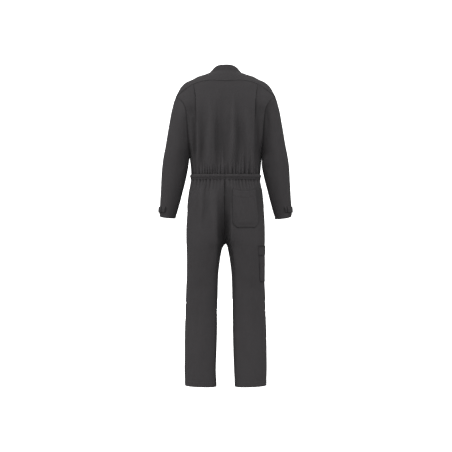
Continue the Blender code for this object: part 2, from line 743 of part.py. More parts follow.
def build_waistband():
    behind = np.linspace(np.pi / 2, -np.pi / 2, BACK_COLUMNS + 1)
    every = ("top", "low", "start", "end")
    cloth("waistband_back", drawn_back(waist_rows(behind, WAIST_BULGE_BACK, True), every), CLOTH)
    in_front = np.linspace(np.pi, np.pi / 2, LEG_COLUMNS + 1)
    rows = drawn_back(waist_rows(in_front, WAIST_BULGE_FRONT, False), every)
    for side, word in ((1, "left"), (-1, "right")):
        cloth(f"waistband_front_{word}", rows, CLOTH, side=side)


def build_trousers():
    borders = ("top", "start", "end")
    for side, word in ((1, "left"), (-1, "right")):
        back = drawn_back(leg_rows(side, front=False), borders)
        front = drawn_back(leg_rows(side, front=True), borders)
        cloth(f"trouser_back_{word}", reversed_rows(back), CLOTH, side=side)
        cloth(f"trouser_front_{word}", front, CLOTH, side=side)


def build_details():
    cloth("back_pocket", reversed_rows(back_pocket_rows()), CLOTH, side=-1)
    pocket = thigh_rows(THIGH_POCKET_Z, THIGH_POCKET_ANGLES, 8)
    cloth("thigh_pocket", reversed_rows(pocket), CLOTH, side=-1)
    flap = thigh_rows(THIGH_FLAP_Z, THIGH_FLAP_ANGLES, 4)
    cloth("thigh_flap", reversed_rows(flap), CLOTH, side=-1)
    cloth("fly", fly_rows(), CLOTH)
    for number, z in enumerate(STUD_HEIGHTS, start=1):
        press_stud(number, z)


for leftover in list(bpy.data.objects):
    bpy.data.objects.remove(leftover, do_unlink=True)

PARTS = bpy.data.collections.new("boiler_suit")
bpy.context.scene.collection.children.link(PARTS)
CLOTH = material("charcoal_twill", CLOTH_COLOUR, 0.9)
DARK_CLOTH = material("charcoal_twill_folded", DARK_CLOTH_COLOUR, 0.9)
METAL = material("dark_press_stud", METAL_COLOUR, 0.45, 0.9)

build_upper()
build_waistband()
build_trousers()
build_details()
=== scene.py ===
"""Boiler suit: a long-sleeved one-piece work garment in charcoal twill, filled out as if worn.

The cut pieces follow one another as they are sewn: back, yoke, fronts, collar, sleeves, cuff tabs,
trousers, pockets, waistband and front opening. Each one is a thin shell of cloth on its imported
solid. Tables are in millimetres and meshes in metres. +Z is up, the front faces -Y, and the
wearer's left is +X.
"""

import math

import bmesh
import bpy
import numpy as np
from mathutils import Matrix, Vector


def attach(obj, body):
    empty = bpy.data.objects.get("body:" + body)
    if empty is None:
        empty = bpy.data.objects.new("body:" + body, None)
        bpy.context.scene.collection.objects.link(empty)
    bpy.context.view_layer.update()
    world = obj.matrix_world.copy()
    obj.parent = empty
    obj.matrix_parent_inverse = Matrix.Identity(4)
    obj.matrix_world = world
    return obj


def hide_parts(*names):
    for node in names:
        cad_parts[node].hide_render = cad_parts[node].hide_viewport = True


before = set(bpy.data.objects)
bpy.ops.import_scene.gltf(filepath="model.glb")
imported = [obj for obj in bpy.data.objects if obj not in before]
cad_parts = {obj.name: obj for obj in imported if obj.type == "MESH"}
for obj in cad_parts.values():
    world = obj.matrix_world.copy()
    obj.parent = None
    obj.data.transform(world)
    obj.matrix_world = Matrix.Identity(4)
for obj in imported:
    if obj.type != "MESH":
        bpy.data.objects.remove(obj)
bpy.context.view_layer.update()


# ============ the back
# One panel of cotton twill from the yoke seam to the waist, cut wide enough for two action pleats.
# The pleats are stitched down for a hand's breadth under the yoke and hang free below it, and the
# elastic of the waistband gathers the lower edge.

MM = 0.001
SIDES = ((1, "left"), (-1, "right"))    # both sides of the wearer, with the sign of their X
CLOTH_WALL = 1.1          # one layer of the twill with its nap
HEMMED = 2.2              # the same, turned under twice and stitched

UNDERARM_Z = -420.0
YOKE_END_Z = -132.0
WAIST_TOP_Z = -513.0
WAIST_LOW_Z = -541.0


def table(columns, rows):
    """A table with named columns, kept as one array for each column."""
    names = columns.split()
    return {name: np.array([float(row[i]) for row in rows]) for i, name in enumerate(names)}


# Torso and shoulders. Below the shoulder tip half_width runs on inside the sleeve to the underarm.
BODY = table("z half_width back front power", [
    (12, 60, 68, 68, 1.95),
    (4, 67, 72, 74, 1.95),
    (-7, 80, 78, 79, 1.86),
    (-11, 92, 80, 81, 1.82),
    (-16, 104, 83, 84, 1.80),
    (-25, 136, 87, 88, 1.72),
    (-40, 165, 94, 93, 1.70),
    (-55, 197, 99, 97, 1.70),
    (-70, 215, 103, 101, 1.72),
    (-85, 227, 107, 105, 1.76),
    (-100, 235, 110, 109, 1.82),
    (-130, 249, 116, 118, 2.00),
    (-165, 256, 121, 126, 2.20),
    (-190, 250, 124, 130, 2.30),
    (-250, 228, 128, 135, 2.35),
    (-340, 203, 127, 134, 2.35),
    (-420, 181, 122, 128, 2.35),
    (-450, 178, 119, 125, 2.35),
    (-490, 174, 116, 120, 2.35),
    (-513, 172, 114, 117, 2.35),
    (-541, 172, 114, 115, 2.35),
])

# Side edge of the back and of the front, as the distance from the middle along the armhole.
ARMHOLE = table("z x", [
    (-140, 233), (-150, 220), (-165, 208), (-190, 197), (-220, 193), (-260, 190.5), (-300, 188.5),
    (-345, 185.5), (-385, 182.5), (-408, 180.5),
])
YOKE_SEAM = table("x z", [
    (0, -57), (40, -54), (73, -52), (112, -55), (156, -68), (201, -94), (238, -122), (250, -132),
])
# Gathers above the waistband: place, length up the back, and height of each lobe between its nips.
BACK_GATHERS = table("x length height", [
    (172, 62, 5.6), (158, 75, 7.5), (138, 112, 11.2), (119, 52, 6.9), (108, 78, 10.6), (93.5, 70, 10.0),
    (82, 72, 10.6), (69, 62, 9.4), (57.5, 70, 10.6), (45, 62, 9.4), (34, 52, 7.5), (13, 156, 15.0),
    (-2, 75, 8.1), (-21.5, 58, 6.9), (-43, 95, 13.8), (-56, 55, 8.1), (-66, 70, 10.0), (-81, 131, 13.8),
    (-101, 162, 15.0), (-128, 131, 14.4), (-144, 90, 10.0), (-158, 68, 8.1), (-172, 58, 5.6),
])
GATHER_POWER = 1.1        # near 1, so that each lobe is round and the nip between two is sharp
GATHER_SINK = 0.9         # the cloth is drawn in this far at its seam, and less up to its reach
GATHER_SINK_REACH = 26.0

# Long soft folds: top and low end, height (minus for a trough), and half width on the left and right.
BACK_FOLDS = table("x_top z_top x_low z_low height left right", [
    (174, -160, 170, -500, 4.0, 8, 8),
    (158, -170, 155, -490, -5.0, 7, 8),
    (188, -138, 166, -236, -3.0, 7, 8),
    (138, -118, 133, -518, 5.5, 8, 8),
    (114, -140, 113, -496, -6.5, 12, 13),
    (77, -92, 72, -524, 9.0, 14, 9),
    (47, -110, 45, -500, -6.5, 5, 11),
    (16, -90, 14, -470, -6.5, 24, 24),
    (-4, -130, -2, -330, 1.5, 14, 12),
    (-44, -92, -28, -524, 11.0, 10, 5),
    (-57, -110, -50, -500, -6.8, 6, 12),
    (-72, -120, -76, -420, -3.0, 16, 16),
    (-100, -140, -117, -512, 7.5, 16, 16),
    (-158, -140, -158, -490, -6.5, 10, 11),
    (-178, -170, -174, -480, 3.0, 8, 8),
    (13, -384, 12, -530, 4.0, 8, 8),
    (-74, -412, -77, -530, 5.0, 12, 12),
    (-124, -380, -126, -530, 4.0, 8, 8),
    (-190, -142, -172, -240, -2.5, 7, 8),
])
FOLD_SIZE = 1.3
FOLD_SWAY = 2.5           # they wander this much from a straight line
BACK_FOLD_PEAK = 0.68     # they are deepest this far down their length
PLEAT_LINE = table("z x", [(-60, 157), (-100, 152), (-140, 147), (-240, 144), (-330, 143), (-520, 142)])
PLEAT_STEP = 4.0
PLEAT_TACK_Z = -141.0     # the stitching of the pleats ends here in a bar tack
PLEAT_DEEP_Z = -210.0     # below it the step deepens down to here
PLEAT_CLOSE = (-400.0, -505.0)      # and flattens out between these heights
PLEAT_OPEN_Z = -470.0     # the fold has opened fully here

SEAM_LINES = (0.8, 2.0, 4.2, 6.4, 7.6, 9.2)     # extra lines of points beside every seam
SEAM_WIDTH = 7.4          # a felled seam, from its fold to its second row of stitches
SEAM_LIFT = 0.75
STITCH_ROWS = (2.0, 6.4)
HEM_ROW = 2.0             # the one row of a hem runs this far inside its turned edge
STITCH_LIFT = 0.45        # stitches lie this far above the panel, on the layers folded under
STITCH_DENT = 0.34
RIPPLE = 0.22             # puckers along a seam
RIPPLE_LENGTH = 19.0
TUCK_REACH = 3.0          # an edge runs on this far under the piece that covers it
TUCK_DEPTH = 1.5


def smooth(places, values, at):
    """Values read on a smooth curve through the points, with no overshoot between them."""
    order = np.argsort(places)
    places, values = places[order], values[order]
    widths = np.diff(places)
    slopes = np.diff(values) / widths
    before, after = slopes[:-1], slopes[1:]
    same_way = before * after > 0
    total = np.where(same_way, before + after, 1.0)
    inside = np.where(same_way, 2 * before * after / total, 0.0)
    tangents = np.concatenate([slopes[:1], inside, slopes[-1:]])
    at = np.clip(at, places[0], places[-1])
    i = np.clip(np.searchsorted(places, at) - 1, 0, len(places) - 2)
    t = (at - places[i]) / widths[i]
    rise = values[i] * (2 * t**3 - 3 * t**2 + 1) + values[i + 1] * (3 * t**2 - 2 * t**3)
    bend = widths[i] * (tangents[i] * (t**3 - 2 * t**2 + t) + tangents[i + 1] * (t**3 - t**2))
    return rise + bend


def read(source, column, z):
    """One column of a table at the heights z."""
    return smooth(source["z"], source[column], z)


def step(low, high, value):
    """0 below low, 1 above high, and a soft S between them."""
    t = np.clip((value - low) / (high - low), 0, 1)
    return t * t * (3 - 2 * t)


def hill(away, reach):
    """1 where away is 0, and softly down to nothing at twice the reach on both sides."""
    return np.exp(-(away / reach) ** 2)


def signed_power(value, power):
    return np.sign(value) * np.abs(value) ** power


def body_point(angle, z):
    """Torso and shoulders: angle 0 is the middle of the back, 90 degrees the wearer's left."""
    power = 2 / read(BODY, "power", z)
    cosine = np.cos(angle)
    depth = np.where(cosine > 0, read(BODY, "back", z), read(BODY, "front", z))
    x = read(BODY, "half_width", z) * signed_power(np.sin(angle), power)
    return np.stack([x, depth * signed_power(cosine, power), z], axis=-1)


def body_angle(x, z, front=False):
    """The angle at which body_point reaches x at the height z."""
    share = np.clip(np.abs(x) / read(BODY, "half_width", z), 0, 1)
    angle = np.arcsin(share ** (read(BODY, "power", z) / 2))
    return np.pi - angle if front else angle


def raised(surface, angle, z, height, *side):
    """Points of a surface, moved out along its normal by height."""
    nudge = 1e-4
    along = surface(angle + nudge, z, *side) - surface(angle - nudge, z, *side)
    up = surface(angle, z + 50 * nudge, *side) - surface(angle, z - 50 * nudge, *side)
    normal = np.cross(up, along)
    normal /= np.maximum(np.linalg.norm(normal, axis=-1, keepdims=True), 1e-12)
    return surface(angle, z, *side) + normal * np.expand_dims(height, -1)


def seam_spaced(count, length):
    """Shares from 0 to 1 across a panel of that length, with extra lines beside both seams."""
    near = np.array(SEAM_LINES) / length
    even = np.linspace(0, 1, count + 1)
    margin = near[-1] + 0.4 / count
    inner = even[(even > margin) & (even < 1 - margin)]
    return np.concatenate([[0], near, inner, 1 - near[::-1], [1]])


def waver(along, seed, wavelength):
    """An uneven wave of height 1 along a line, the same for the same seed."""
    phase = np.random.RandomState(seed).uniform(0, 2 * np.pi, 4)
    turn = 2 * np.pi * along / wavelength
    parts = (np.sin(turn + phase[0]) + 0.7 * np.sin(1.63 * turn + phase[1])
             + 0.6 * np.sin(0.41 * turn + phase[2]) + 0.4 * np.sin(2.57 * turn + phase[3]))
    return parts / 2


def drape(x, z, seed, size=0.5):
    """Slow uneven swells of hanging cloth."""
    slant = x + 0.18 * z
    return size * (waver(slant, seed, 95) * 0.7 + waver(z - 0.3 * x, seed + 1, 240) * 0.8
                   + waver(slant, seed + 2, 47) * 0.25)


def creases(source, x, z, peak=0.5):
    """Height of the long soft ridges and troughs of a table, deepest at the share peak of each."""
    height = np.zeros_like(x)
    for x_top, z_top, x_low, z_low, size, left, right in zip(*source.values()):
        t = np.clip((z_top - z) / (z_top - z_low), 0, 1)
        away = x - x_top - (x_low - x_top) * t - FOLD_SWAY * np.sin(2.6 * np.pi * t + x_top)
        swell = np.sin(np.pi * t ** (math.log(0.5) / math.log(peak)))
        width = np.where(away > 0, left, right) * (0.75 + 0.5 * swell)
        height += size * swell**0.8 * hill(away, width)
    return height


def gathers(source, x, distance):
    """Height of gathered cloth: round lobes between sharp nips, dying out away from their seam."""
    order = np.argsort(source["x"])
    places = source["x"][order]
    nips = np.concatenate([[places[0] - 9], (places[1:] + places[:-1]) / 2, [places[-1] + 9]])
    i = np.clip(np.searchsorted(nips, x) - 1, 0, len(places) - 1)
    share = np.clip((x - nips[i]) / (nips[i + 1] - nips[i]), 0, 1)
    beside = np.clip(np.where(share < 0.5, i - 1, i + 1), 0, len(places) - 1)

    def size(at):
        fade = np.clip(1 - distance / source["length"][order][at], 0, 1) ** 1.1
        return source["height"][order][at] * fade

    height = size(i) + (size(beside) - size(i)) * np.abs(share - 0.5)
    sink = np.clip(1 - distance / GATHER_SINK_REACH, 0, 1) ** 2
    return height * (np.sin(np.pi * share) ** GATHER_POWER - 0.6) - GATHER_SINK * sink


def outward(grid):
    """Outward directions of a grid of points, seen from outside left to right and top to bottom."""
    normal = np.cross(np.gradient(grid, axis=0), np.gradient(grid, axis=1))
    return normal / np.maximum(np.linalg.norm(normal, axis=-1, keepdims=True), 1e-9)


def turned(grid, border):
    """The grid with the named border as its first column."""
    if border in ("top", "low"):
        grid = np.swapaxes(grid, 0, 1)
    return grid[:, ::-1] if border in ("end", "low") else grid


def turned_back(grid, border):
    """A grid from turned, back in its own order."""
    grid = grid[:, ::-1] if border in ("end", "low") else grid
    return np.swapaxes(grid, 0, 1) if border in ("top", "low") else grid


def distances(lines):
    """Length travelled along each row of points."""
    steps = np.linalg.norm(np.diff(lines, axis=1), axis=-1)
    return np.concatenate([np.zeros((len(lines), 1)), np.cumsum(steps, axis=1)], axis=1)


def from_border(grid, border):
    """How far every point of the grid lies inside the named border."""
    return turned_back(distances(turned(grid, border)), border)


def stitched_edge(grid, border, seed, lift=SEAM_LIFT, width=SEAM_WIDTH, rows=STITCH_ROWS, weight=1.0):
    """The grid with one border folded under and stitched: a raised band, dents and puckers."""
    lines, normals = turned(grid, border), turned(outward(grid), border)
    inside = distances(lines)
    along = distances(np.swapaxes(lines[:, :1], 0, 1))[0][:, None]
    band = (1 - step(width - 0.7, width + 1.2, inside)) * (0.25 + 0.75 * step(0, 1.2, inside))
    height = lift * band
    for row in rows:
        height = height - STITCH_DENT * hill(inside - row, 0.75)
    height = height + RIPPLE * waver(along, seed, RIPPLE_LENGTH) * np.exp(-inside / 11)
    weight = np.reshape(weight, (-1, 1)) if np.ndim(weight) else weight
    return turned_back(lines + normals * (height * weight)[..., None], border)


def stitched_edges(grid, seeds, **edge):
    """The grid with each border that has a seed folded under and stitched."""
    for border, seed in seeds.items():
        grid = stitched_edge(grid, border, seed, **edge)
    return grid


def tucked(grid, border, reach=TUCK_REACH, depth=TUCK_DEPTH):
    """The grid with one more line of points, which runs on under the piece that covers it."""
    lines, normals = turned(grid, border), turned(outward(grid), border)
    reach, depth = (np.reshape(value, (-1, 1, 1)) for value in (reach, depth))
    ahead = lines[:, :1] - lines[:, 1:2]
    ahead = ahead / np.maximum(np.linalg.norm(ahead, axis=-1, keepdims=True), 1e-9)
    under = lines[:, :1] - normals[:, :1] * depth
    return turned_back(np.concatenate([under + ahead * reach, under, lines[:, 1:]], axis=1), border)


def line_beside(grid, border, distance, first=0, last=None):
    """Points and outward directions of a line that runs at a distance inside a border."""
    lines, normals = turned(grid, border)[first:last], turned(outward(grid), border)[first:last]
    inside = distances(lines)
    points, aim = (np.array([[np.interp(distance, d, row[:, i]) for i in range(3)]
                             for d, row in zip(inside, source)]) for source in (lines, normals))
    return points, aim


def lines_beside(grid, borders, rows=STITCH_ROWS):
    """The lines of all the rows of stitches inside the named borders."""
    return [line_beside(grid, border, row) for border in borders for row in rows]


def lifted(runs, height=STITCH_LIFT):
    """Lines of stitches, raised off the panel by height."""
    return [(points + aim * height, aim) for points, aim in runs]


def new_node(nodes, kind, **inputs):
    """A node with values on its sockets, whose names are written with _ for a space."""
    made = nodes.new(kind)
    for socket, value in inputs.items():
        made.inputs[socket.replace("_", " ")].default_value = value
    return made


def new_finish(name, **shine):
    """A material, its nodes, its links and its shader, with values on the shader's sockets."""
    finish = bpy.data.materials.new(name)
    finish.use_nodes = True
    nodes, links = finish.node_tree.nodes, finish.node_tree.links
    shader = nodes["Principled BSDF"]
    for socket, value in shine.items():
        shader.inputs[socket.replace("_", " ")].default_value = value
    return finish, nodes, links, shader


def shade_ramp(nodes, colour, shares, stops=(0.0, 1.0)):
    """A ramp from a darker to a paler shade of a colour, each a share of it."""
    ramp = nodes.new("ShaderNodeValToRGB")
    for end, share, stop in zip(ramp.color_ramp.elements, shares, stops):
        end.position = stop
        end.color = (*[c * share for c in colour], 1)
    return ramp


def scaled(nodes, links, value, factor, added=None):
    """A value times a factor, and the sum with another value where one is given."""
    product = nodes.new("ShaderNodeMath")
    product.operation = "MULTIPLY" if added is None else "MULTIPLY_ADD"
    product.inputs[1].default_value = factor
    links.new(value, product.inputs[0])
    if added is not None:
        links.new(added, product.inputs[2])
    return product.outputs["Value"]


def blended(nodes, links, first, second, factor, blend="MIX"):
    """Two colours blended by a factor. Each of the three is a value or another node's output."""
    mix = nodes.new("ShaderNodeMix")
    mix.data_type = "RGBA"
    mix.blend_type = blend
    for socket, given in (("A", first), ("B", second), ("Factor", factor)):
        if isinstance(given, bpy.types.NodeSocket):
            links.new(given, mix.inputs[socket])
        else:
            mix.inputs[socket].default_value = given
    return mix.outputs["Result"]


RIB = 0.85                # from one diagonal rib of the twill to the next
RIB_WAVE = 0.444          # bands of the wave texture for each unit of its scale
RIB_DEPTH = 0.3
RIB_CONTRAST = 0.22
NAP_DEPTH = 0.4
CREASE_SHADE = 0.3        # how dark the painted shade in a crease makes the cloth, as a share of its colour


def twill(name, colour, worn):
    """Cotton twill: diagonal ribs of yarn, slubs, slow fading, paler cloth where seams rub and where a
    highlight is painted, and painted shade.
    """
    finish, nodes, links, shader = new_finish(
        name, Roughness=0.88, Specular_IOR_Level=0.22, Sheen_Weight=0.07, Sheen_Roughness=0.45,
        Sheen_Tint=(0.9, 0.88, 0.9, 1))
    cloth_map = nodes.new("ShaderNodeUVMap")
    cloth_map.uv_map = "cloth"
    ribs = new_node(nodes, "ShaderNodeTexWave", Scale=RIB_WAVE / (RIB * MM), Distortion=0.6, Detail=1.0,
                    Detail_Scale=0.35)
    ribs.bands_direction = "DIAGONAL"
    slubs = new_node(nodes, "ShaderNodeTexNoise", Scale=230.0, Detail=3.0, Roughness=0.6)
    fading = new_node(nodes, "ShaderNodeTexNoise", Scale=14.0, Detail=4.0, Roughness=0.55)
    stretch = new_node(nodes, "ShaderNodeMapping", Scale=(1.0, 0.35, 1.0))
    for texture in (ribs, fading, stretch):
        links.new(cloth_map.outputs["UV"], texture.inputs["Vector"])
    links.new(stretch.outputs["Vector"], slubs.inputs["Vector"])
    rubbed = nodes.new("ShaderNodeAttribute")
    rubbed.attribute_name = "rubbed"

    shades = shade_ramp(nodes, colour, (0.93, 1.07), (0.3, 0.72))
    faded = scaled(nodes, links, fading.outputs["Fac"], 0.55)
    links.new(scaled(nodes, links, slubs.outputs["Fac"], 0.45, faded), shades.inputs["Fac"])
    ribbed = blended(nodes, links, shades.outputs["Color"], ribs.outputs["Color"], RIB_CONTRAST, "MULTIPLY")
    # Above 0 the attribute makes the cloth paler, for wear and for painted highlights; below 0 it paints
    # shade, toward CREASE_SHADE of its colour.
    paler = blended(nodes, links, ribbed, (*worn, 1), rubbed.outputs["Fac"])
    sunk = scaled(nodes, links, rubbed.outputs["Fac"], -1.0)
    creased = blended(nodes, links, paler, (*[c * CREASE_SHADE for c in colour], 1), sunk)
    links.new(creased, shader.inputs["Base Color"])

    weave = new_node(nodes, "ShaderNodeBump", Strength=0.55, Distance=RIB_DEPTH * MM)
    nap = new_node(nodes, "ShaderNodeBump", Strength=0.5, Distance=NAP_DEPTH * MM)
    links.new(ribs.outputs["Fac"], weave.inputs["Height"])
    links.new(slubs.outputs["Fac"], nap.inputs["Height"])
    links.new(weave.outputs["Normal"], nap.inputs["Normal"])
    links.new(nap.outputs["Normal"], shader.inputs["Normal"])
    return finish


def new_object(name, data):
    """An object for a mesh, a lamp or a camera, linked into the scene."""
    made = bpy.data.objects.new(name, data)
    bpy.context.scene.collection.objects.link(made)
    return made


def cloth_piece(name, grid, finish, mirror=False, closed=False, wall=CLOTH_WALL, hemmed=None,
                rubbed=0.0):
    """A shell of cloth through a grid of points in millimetres, top row first, left to right.

    hemmed gives 1 where the cloth is turned under and 0 where it is one layer.
    The per-point values given make the cloth paler above 0, for wear and painted highlights, and darker below
    0, for painted shade.
    """
    rows, columns = grid.shape[:2]
    index = np.arange(rows * columns).reshape(rows, columns)
    ring = np.concatenate([grid, grid[:, :1]], axis=1) if closed else grid
    index = np.concatenate([index, index[:, :1]], axis=1) if closed else index
    corners = ((0, 0), (1, 0), (1, 1), (0, 1))
    corners = corners[::-1] if mirror else corners
    high, wide = index.shape[0] - 1, index.shape[1] - 1
    faces = np.stack([index[i:i + high, j:j + wide] for i, j in corners], axis=-1).reshape(-1, 4)
    points = grid.reshape(-1, 3) * MM * ((-1, 1, 1) if mirror else (1, 1, 1))
    data = bpy.data.meshes.new(name)
    data.from_pydata(points.tolist(), [], faces.tolist())
    travelled = distances(ring)
    across = travelled - travelled[:, -1:] / 2
    flat = np.stack([across, -from_border(ring, "top")], axis=-1) * MM
    cloth_map = data.uv_layers.new(name="cloth")
    spread = np.stack([flat[i:i + high, j:j + wide] for i, j in corners], axis=2).reshape(-1, 2)
    cloth_map.data.foreach_set("uv", spread.astype(np.float32).ravel())
    painted_light_and_wear = data.attributes.new("rubbed", "FLOAT", "POINT")
    painted_light_and_wear.data.foreach_set("value", np.broadcast_to(rubbed, (rows, columns)).astype(np.float32).ravel())
    data.polygons.foreach_set("use_smooth", np.ones(len(data.polygons), bool))
    data.materials.append(finish)
    piece = new_object(name, data)
    layers = piece.modifiers.new("Layers", "SOLIDIFY")
    layers.offset = -1
    layers.thickness = wall * MM
    if hemmed is not None:
        group = piece.vertex_groups.new(name="layers")
        share = np.broadcast_to(hemmed, (rows, columns)).ravel()
        single = CLOTH_WALL / HEMMED
        for weight in np.unique(np.round(share, 2)):
            chosen = np.flatnonzero(np.round(share, 2) == weight).tolist()
            group.add(chosen, single + (1 - single) * float(weight), "REPLACE")
        layers.thickness = HEMMED * MM
        layers.vertex_group = "layers"
    return piece


RUB_SHARE = 0.1           # share of the worn colour where cloth is worn most


def rub(grid, borders, reach=5.0):
    """How much the cloth is worn pale: most on the fold of each stitched border."""
    worn = np.zeros(grid.shape[:2])
    for number, border in enumerate(borders):
        along = distances(np.swapaxes(turned(grid, border)[:, :1], 0, 1))[0][:, None]
        patchy = 0.55 + 0.45 * waver(along, number + 3, 34)
        share = hill(distances(turned(grid, border)) - 1.0, reach) * patchy
        worn = np.maximum(worn, turned_back(share, border))
    return np.clip(worn, 0, 1) * RUB_SHARE


def painted_border_shade(grid, borders, reach=1.6):
    """Minus a painted shade: how much darker the cloth is painted beside each border, in the crease of its
    seam.
    """
    return -np.max([hill(from_border(grid, border), reach) for border in borders], axis=0)


FOLD_SHADE = 0.03         # how much paler or darker the painted light makes the cloth for each millimetre up or down
NIP_SHADE = 0.05
NIP_REACH = 75.0


def relief_painted_light(height, distance):
    """Painted light on the folds: the cloth is painted paler on top of them and darker down in them, as light
    and shade fall there.

    The distance is to the waistband, beside which the nips between gathers are painted darkest.
    """
    low = (FOLD_SHADE + NIP_SHADE * np.clip(1 - distance / NIP_REACH, 0, 1)) * np.minimum(height, 0)
    return np.clip(low, -0.55, 0) + np.clip(FOLD_SHADE * height, 0, 0.12)


THREAD_LENGTH = 2.3
THREAD_WIDTH = 0.55
STITCH_PITCH = 3.1
THREAD_COLOUR = (0.047, 0.044, 0.046)


def grained(name, colour, shares, stops, scale, detail, relief, rough=None, **shine):
    """A hard finish with a fine grain: two shades of a colour, low bumps, and rough and glossy spots."""
    finish, nodes, links, shader = new_finish(name, **shine)
    place = nodes.new("ShaderNodeTexCoord")
    grain = new_node(nodes, "ShaderNodeTexNoise", Scale=scale, Detail=detail)
    shades = shade_ramp(nodes, colour, shares, stops)
    bump = new_node(nodes, "ShaderNodeBump", Distance=relief * MM)
    links.new(place.outputs["Object"], grain.inputs["Vector"])
    links.new(grain.outputs["Fac"], shades.inputs["Fac"])
    links.new(grain.outputs["Fac"], bump.inputs["Height"])
    links.new(shades.outputs["Color"], shader.inputs["Base Color"])
    links.new(bump.outputs["Normal"], shader.inputs["Normal"])
    if rough:
        spots = new_node(nodes, "ShaderNodeMapRange", To_Min=rough[0], To_Max=rough[1])
        links.new(grain.outputs["Fac"], spots.inputs["Value"])
        links.new(spots.outputs["Result"], shader.inputs["Roughness"])
    return finish


def new_tree(name, result, **inputs):
    """An empty geometry-node tree with named inputs, each with its kind, and its named result."""
    tree = bpy.data.node_groups.new(name, "GeometryNodeTree")
    for label, kind in inputs.items():
        tree.interface.new_socket(label, in_out="INPUT", socket_type=f"NodeSocket{kind}")
    tree.interface.new_socket(result, in_out="OUTPUT", socket_type="NodeSocketGeometry")
    return tree, tree.nodes.new("NodeGroupInput")


def set_upright(tree, points, shape, finish, lengthwise=None):
    """Sets a shape at every point, upright on its outward aim, as real faces with their finish."""
    nodes, links = tree.nodes, tree.links
    aim = nodes.new("GeometryNodeInputNamedAttribute")
    aim.data_type = "FLOAT_VECTOR"
    aim.inputs["Name"].default_value = "outward"
    upright = nodes.new("FunctionNodeAlignRotationToVector")
    upright.axis = "Z"
    if lengthwise:
        upright.pivot_axis = "X"
        links.new(lengthwise, upright.inputs["Rotation"])
    placed = nodes.new("GeometryNodeInstanceOnPoints")
    real = nodes.new("GeometryNodeRealizeInstances")
    finished = nodes.new("GeometryNodeSetMaterial")
    result = nodes.new("NodeGroupOutput")
    wires = [
        (aim.outputs["Attribute"], upright.inputs["Vector"]),
        (points, placed.inputs["Points"]),
        (shape, placed.inputs["Instance"]),
        (upright.outputs["Rotation"], placed.inputs["Rotation"]),
        (placed.outputs["Instances"], real.inputs["Geometry"]),
        (real.outputs["Geometry"], finished.inputs["Geometry"]),
        (finish, finished.inputs["Material"]),
        (finished.outputs["Geometry"], result.inputs[0]),
    ]
    for start, end in wires:
        links.new(start, end)


def sewing_tree():
    """Geometry nodes that lay stitches along lines, each pressed into the cloth it holds."""
    tree, given = new_tree("sewing", "Stitches", Lines="Geometry", Pitch="Float", Length="Float",
                           Width="Float", Thread="Material")
    nodes, links = tree.nodes, tree.links
    path = nodes.new("GeometryNodeMeshToCurve")
    spaced = nodes.new("GeometryNodeResampleCurve")
    spaced.mode = "LENGTH"
    bead = new_node(nodes, "GeometryNodeMeshUVSphere", Segments=5, Rings=3, Radius=0.5)
    size = nodes.new("ShaderNodeCombineXYZ")
    shaped = nodes.new("GeometryNodeTransform")
    along = nodes.new("GeometryNodeInputTangent")
    lengthwise = nodes.new("FunctionNodeAlignRotationToVector")
    lengthwise.axis = "X"
    wires = [
        (given.outputs["Lines"], path.inputs["Mesh"]),
        (path.outputs["Curve"], spaced.inputs["Curve"]),
        (given.outputs["Pitch"], spaced.inputs["Length"]),
        (given.outputs["Length"], size.inputs["X"]),
        (given.outputs["Width"], size.inputs["Y"]),
        (given.outputs["Width"], size.inputs["Z"]),
        (bead.outputs["Mesh"], shaped.inputs["Geometry"]),
        (size.outputs["Vector"], shaped.inputs["Scale"]),
        (along.outputs["Tangent"], lengthwise.inputs["Vector"]),
    ]
    for start, end in wires:
        links.new(start, end)
    set_upright(tree, spaced.outputs["Curve"], shaped.outputs["Geometry"], given.outputs["Thread"],
                lengthwise.outputs["Rotation"])
    return tree


def grown(source, tree, **values):
    """The plain mesh that a geometry-node tree makes of an object, in that object's place."""
    modifier = source.modifiers.new("Grown", "NODES")
    modifier.node_group = tree
    for item in tree.interface.items_tree:
        if item.in_out == "INPUT" and item.name in values:
            modifier[item.identifier] = values[item.name]
    bpy.context.view_layer.update()
    seen = source.evaluated_get(bpy.context.evaluated_depsgraph_get())
    made = bpy.data.meshes.new_from_object(seen)
    source.modifiers.remove(modifier)
    source.data = made
    made.name = source.name
    made.polygons.foreach_set("use_smooth", np.ones(len(made.polygons), bool))
    return source


def sew(name, runs, pitch=STITCH_PITCH, length=THREAD_LENGTH, width=THREAD_WIDTH):
    """Rows of stitches along runs of points in millimetres, each given with its outward aim."""
    points = np.concatenate([run + aim * 0.1 for run, aim in runs]) * MM
    edges, start = [], 0
    for run, _ in runs:
        edges += [(start + i, start + i + 1) for i in range(len(run) - 1)]
        start += len(run)
    data = bpy.data.meshes.new(name)
    data.from_pydata(points.tolist(), edges, [])
    aims = data.attributes.new("outward", "FLOAT_VECTOR", "POINT")
    aims.data.foreach_set("vector", np.concatenate([aim for _, aim in runs]).astype(np.float32).ravel())
    stitches = grown(new_object(name, data), SEWING, Pitch=pitch * MM, Length=length * MM,
                     Width=width * MM, Thread=THREAD)
    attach(stitches, "root")
    return stitches


def on_side(runs, side):
    """Lines of stitches made in the left-hand place, put on their own side."""
    return [(points * (side, 1, 1), aim * (side, 1, 1)) for points, aim in runs]


def bar_tack(point, along, aim, count=9, reach=7.0, width=2.2):
    """A bar tack: a close zigzag of thread across the end of a row of stitches."""
    along, aim = along / np.linalg.norm(along), aim / np.linalg.norm(aim)
    side = np.cross(along, aim)
    shares = np.linspace(-0.5, 0.5, count)
    sway = np.where(np.arange(count) % 2, 0.5, -0.5) * width
    points = point + along * (shares * reach)[:, None] + side * sway[:, None]
    return points, np.repeat(aim[None], count, axis=0)


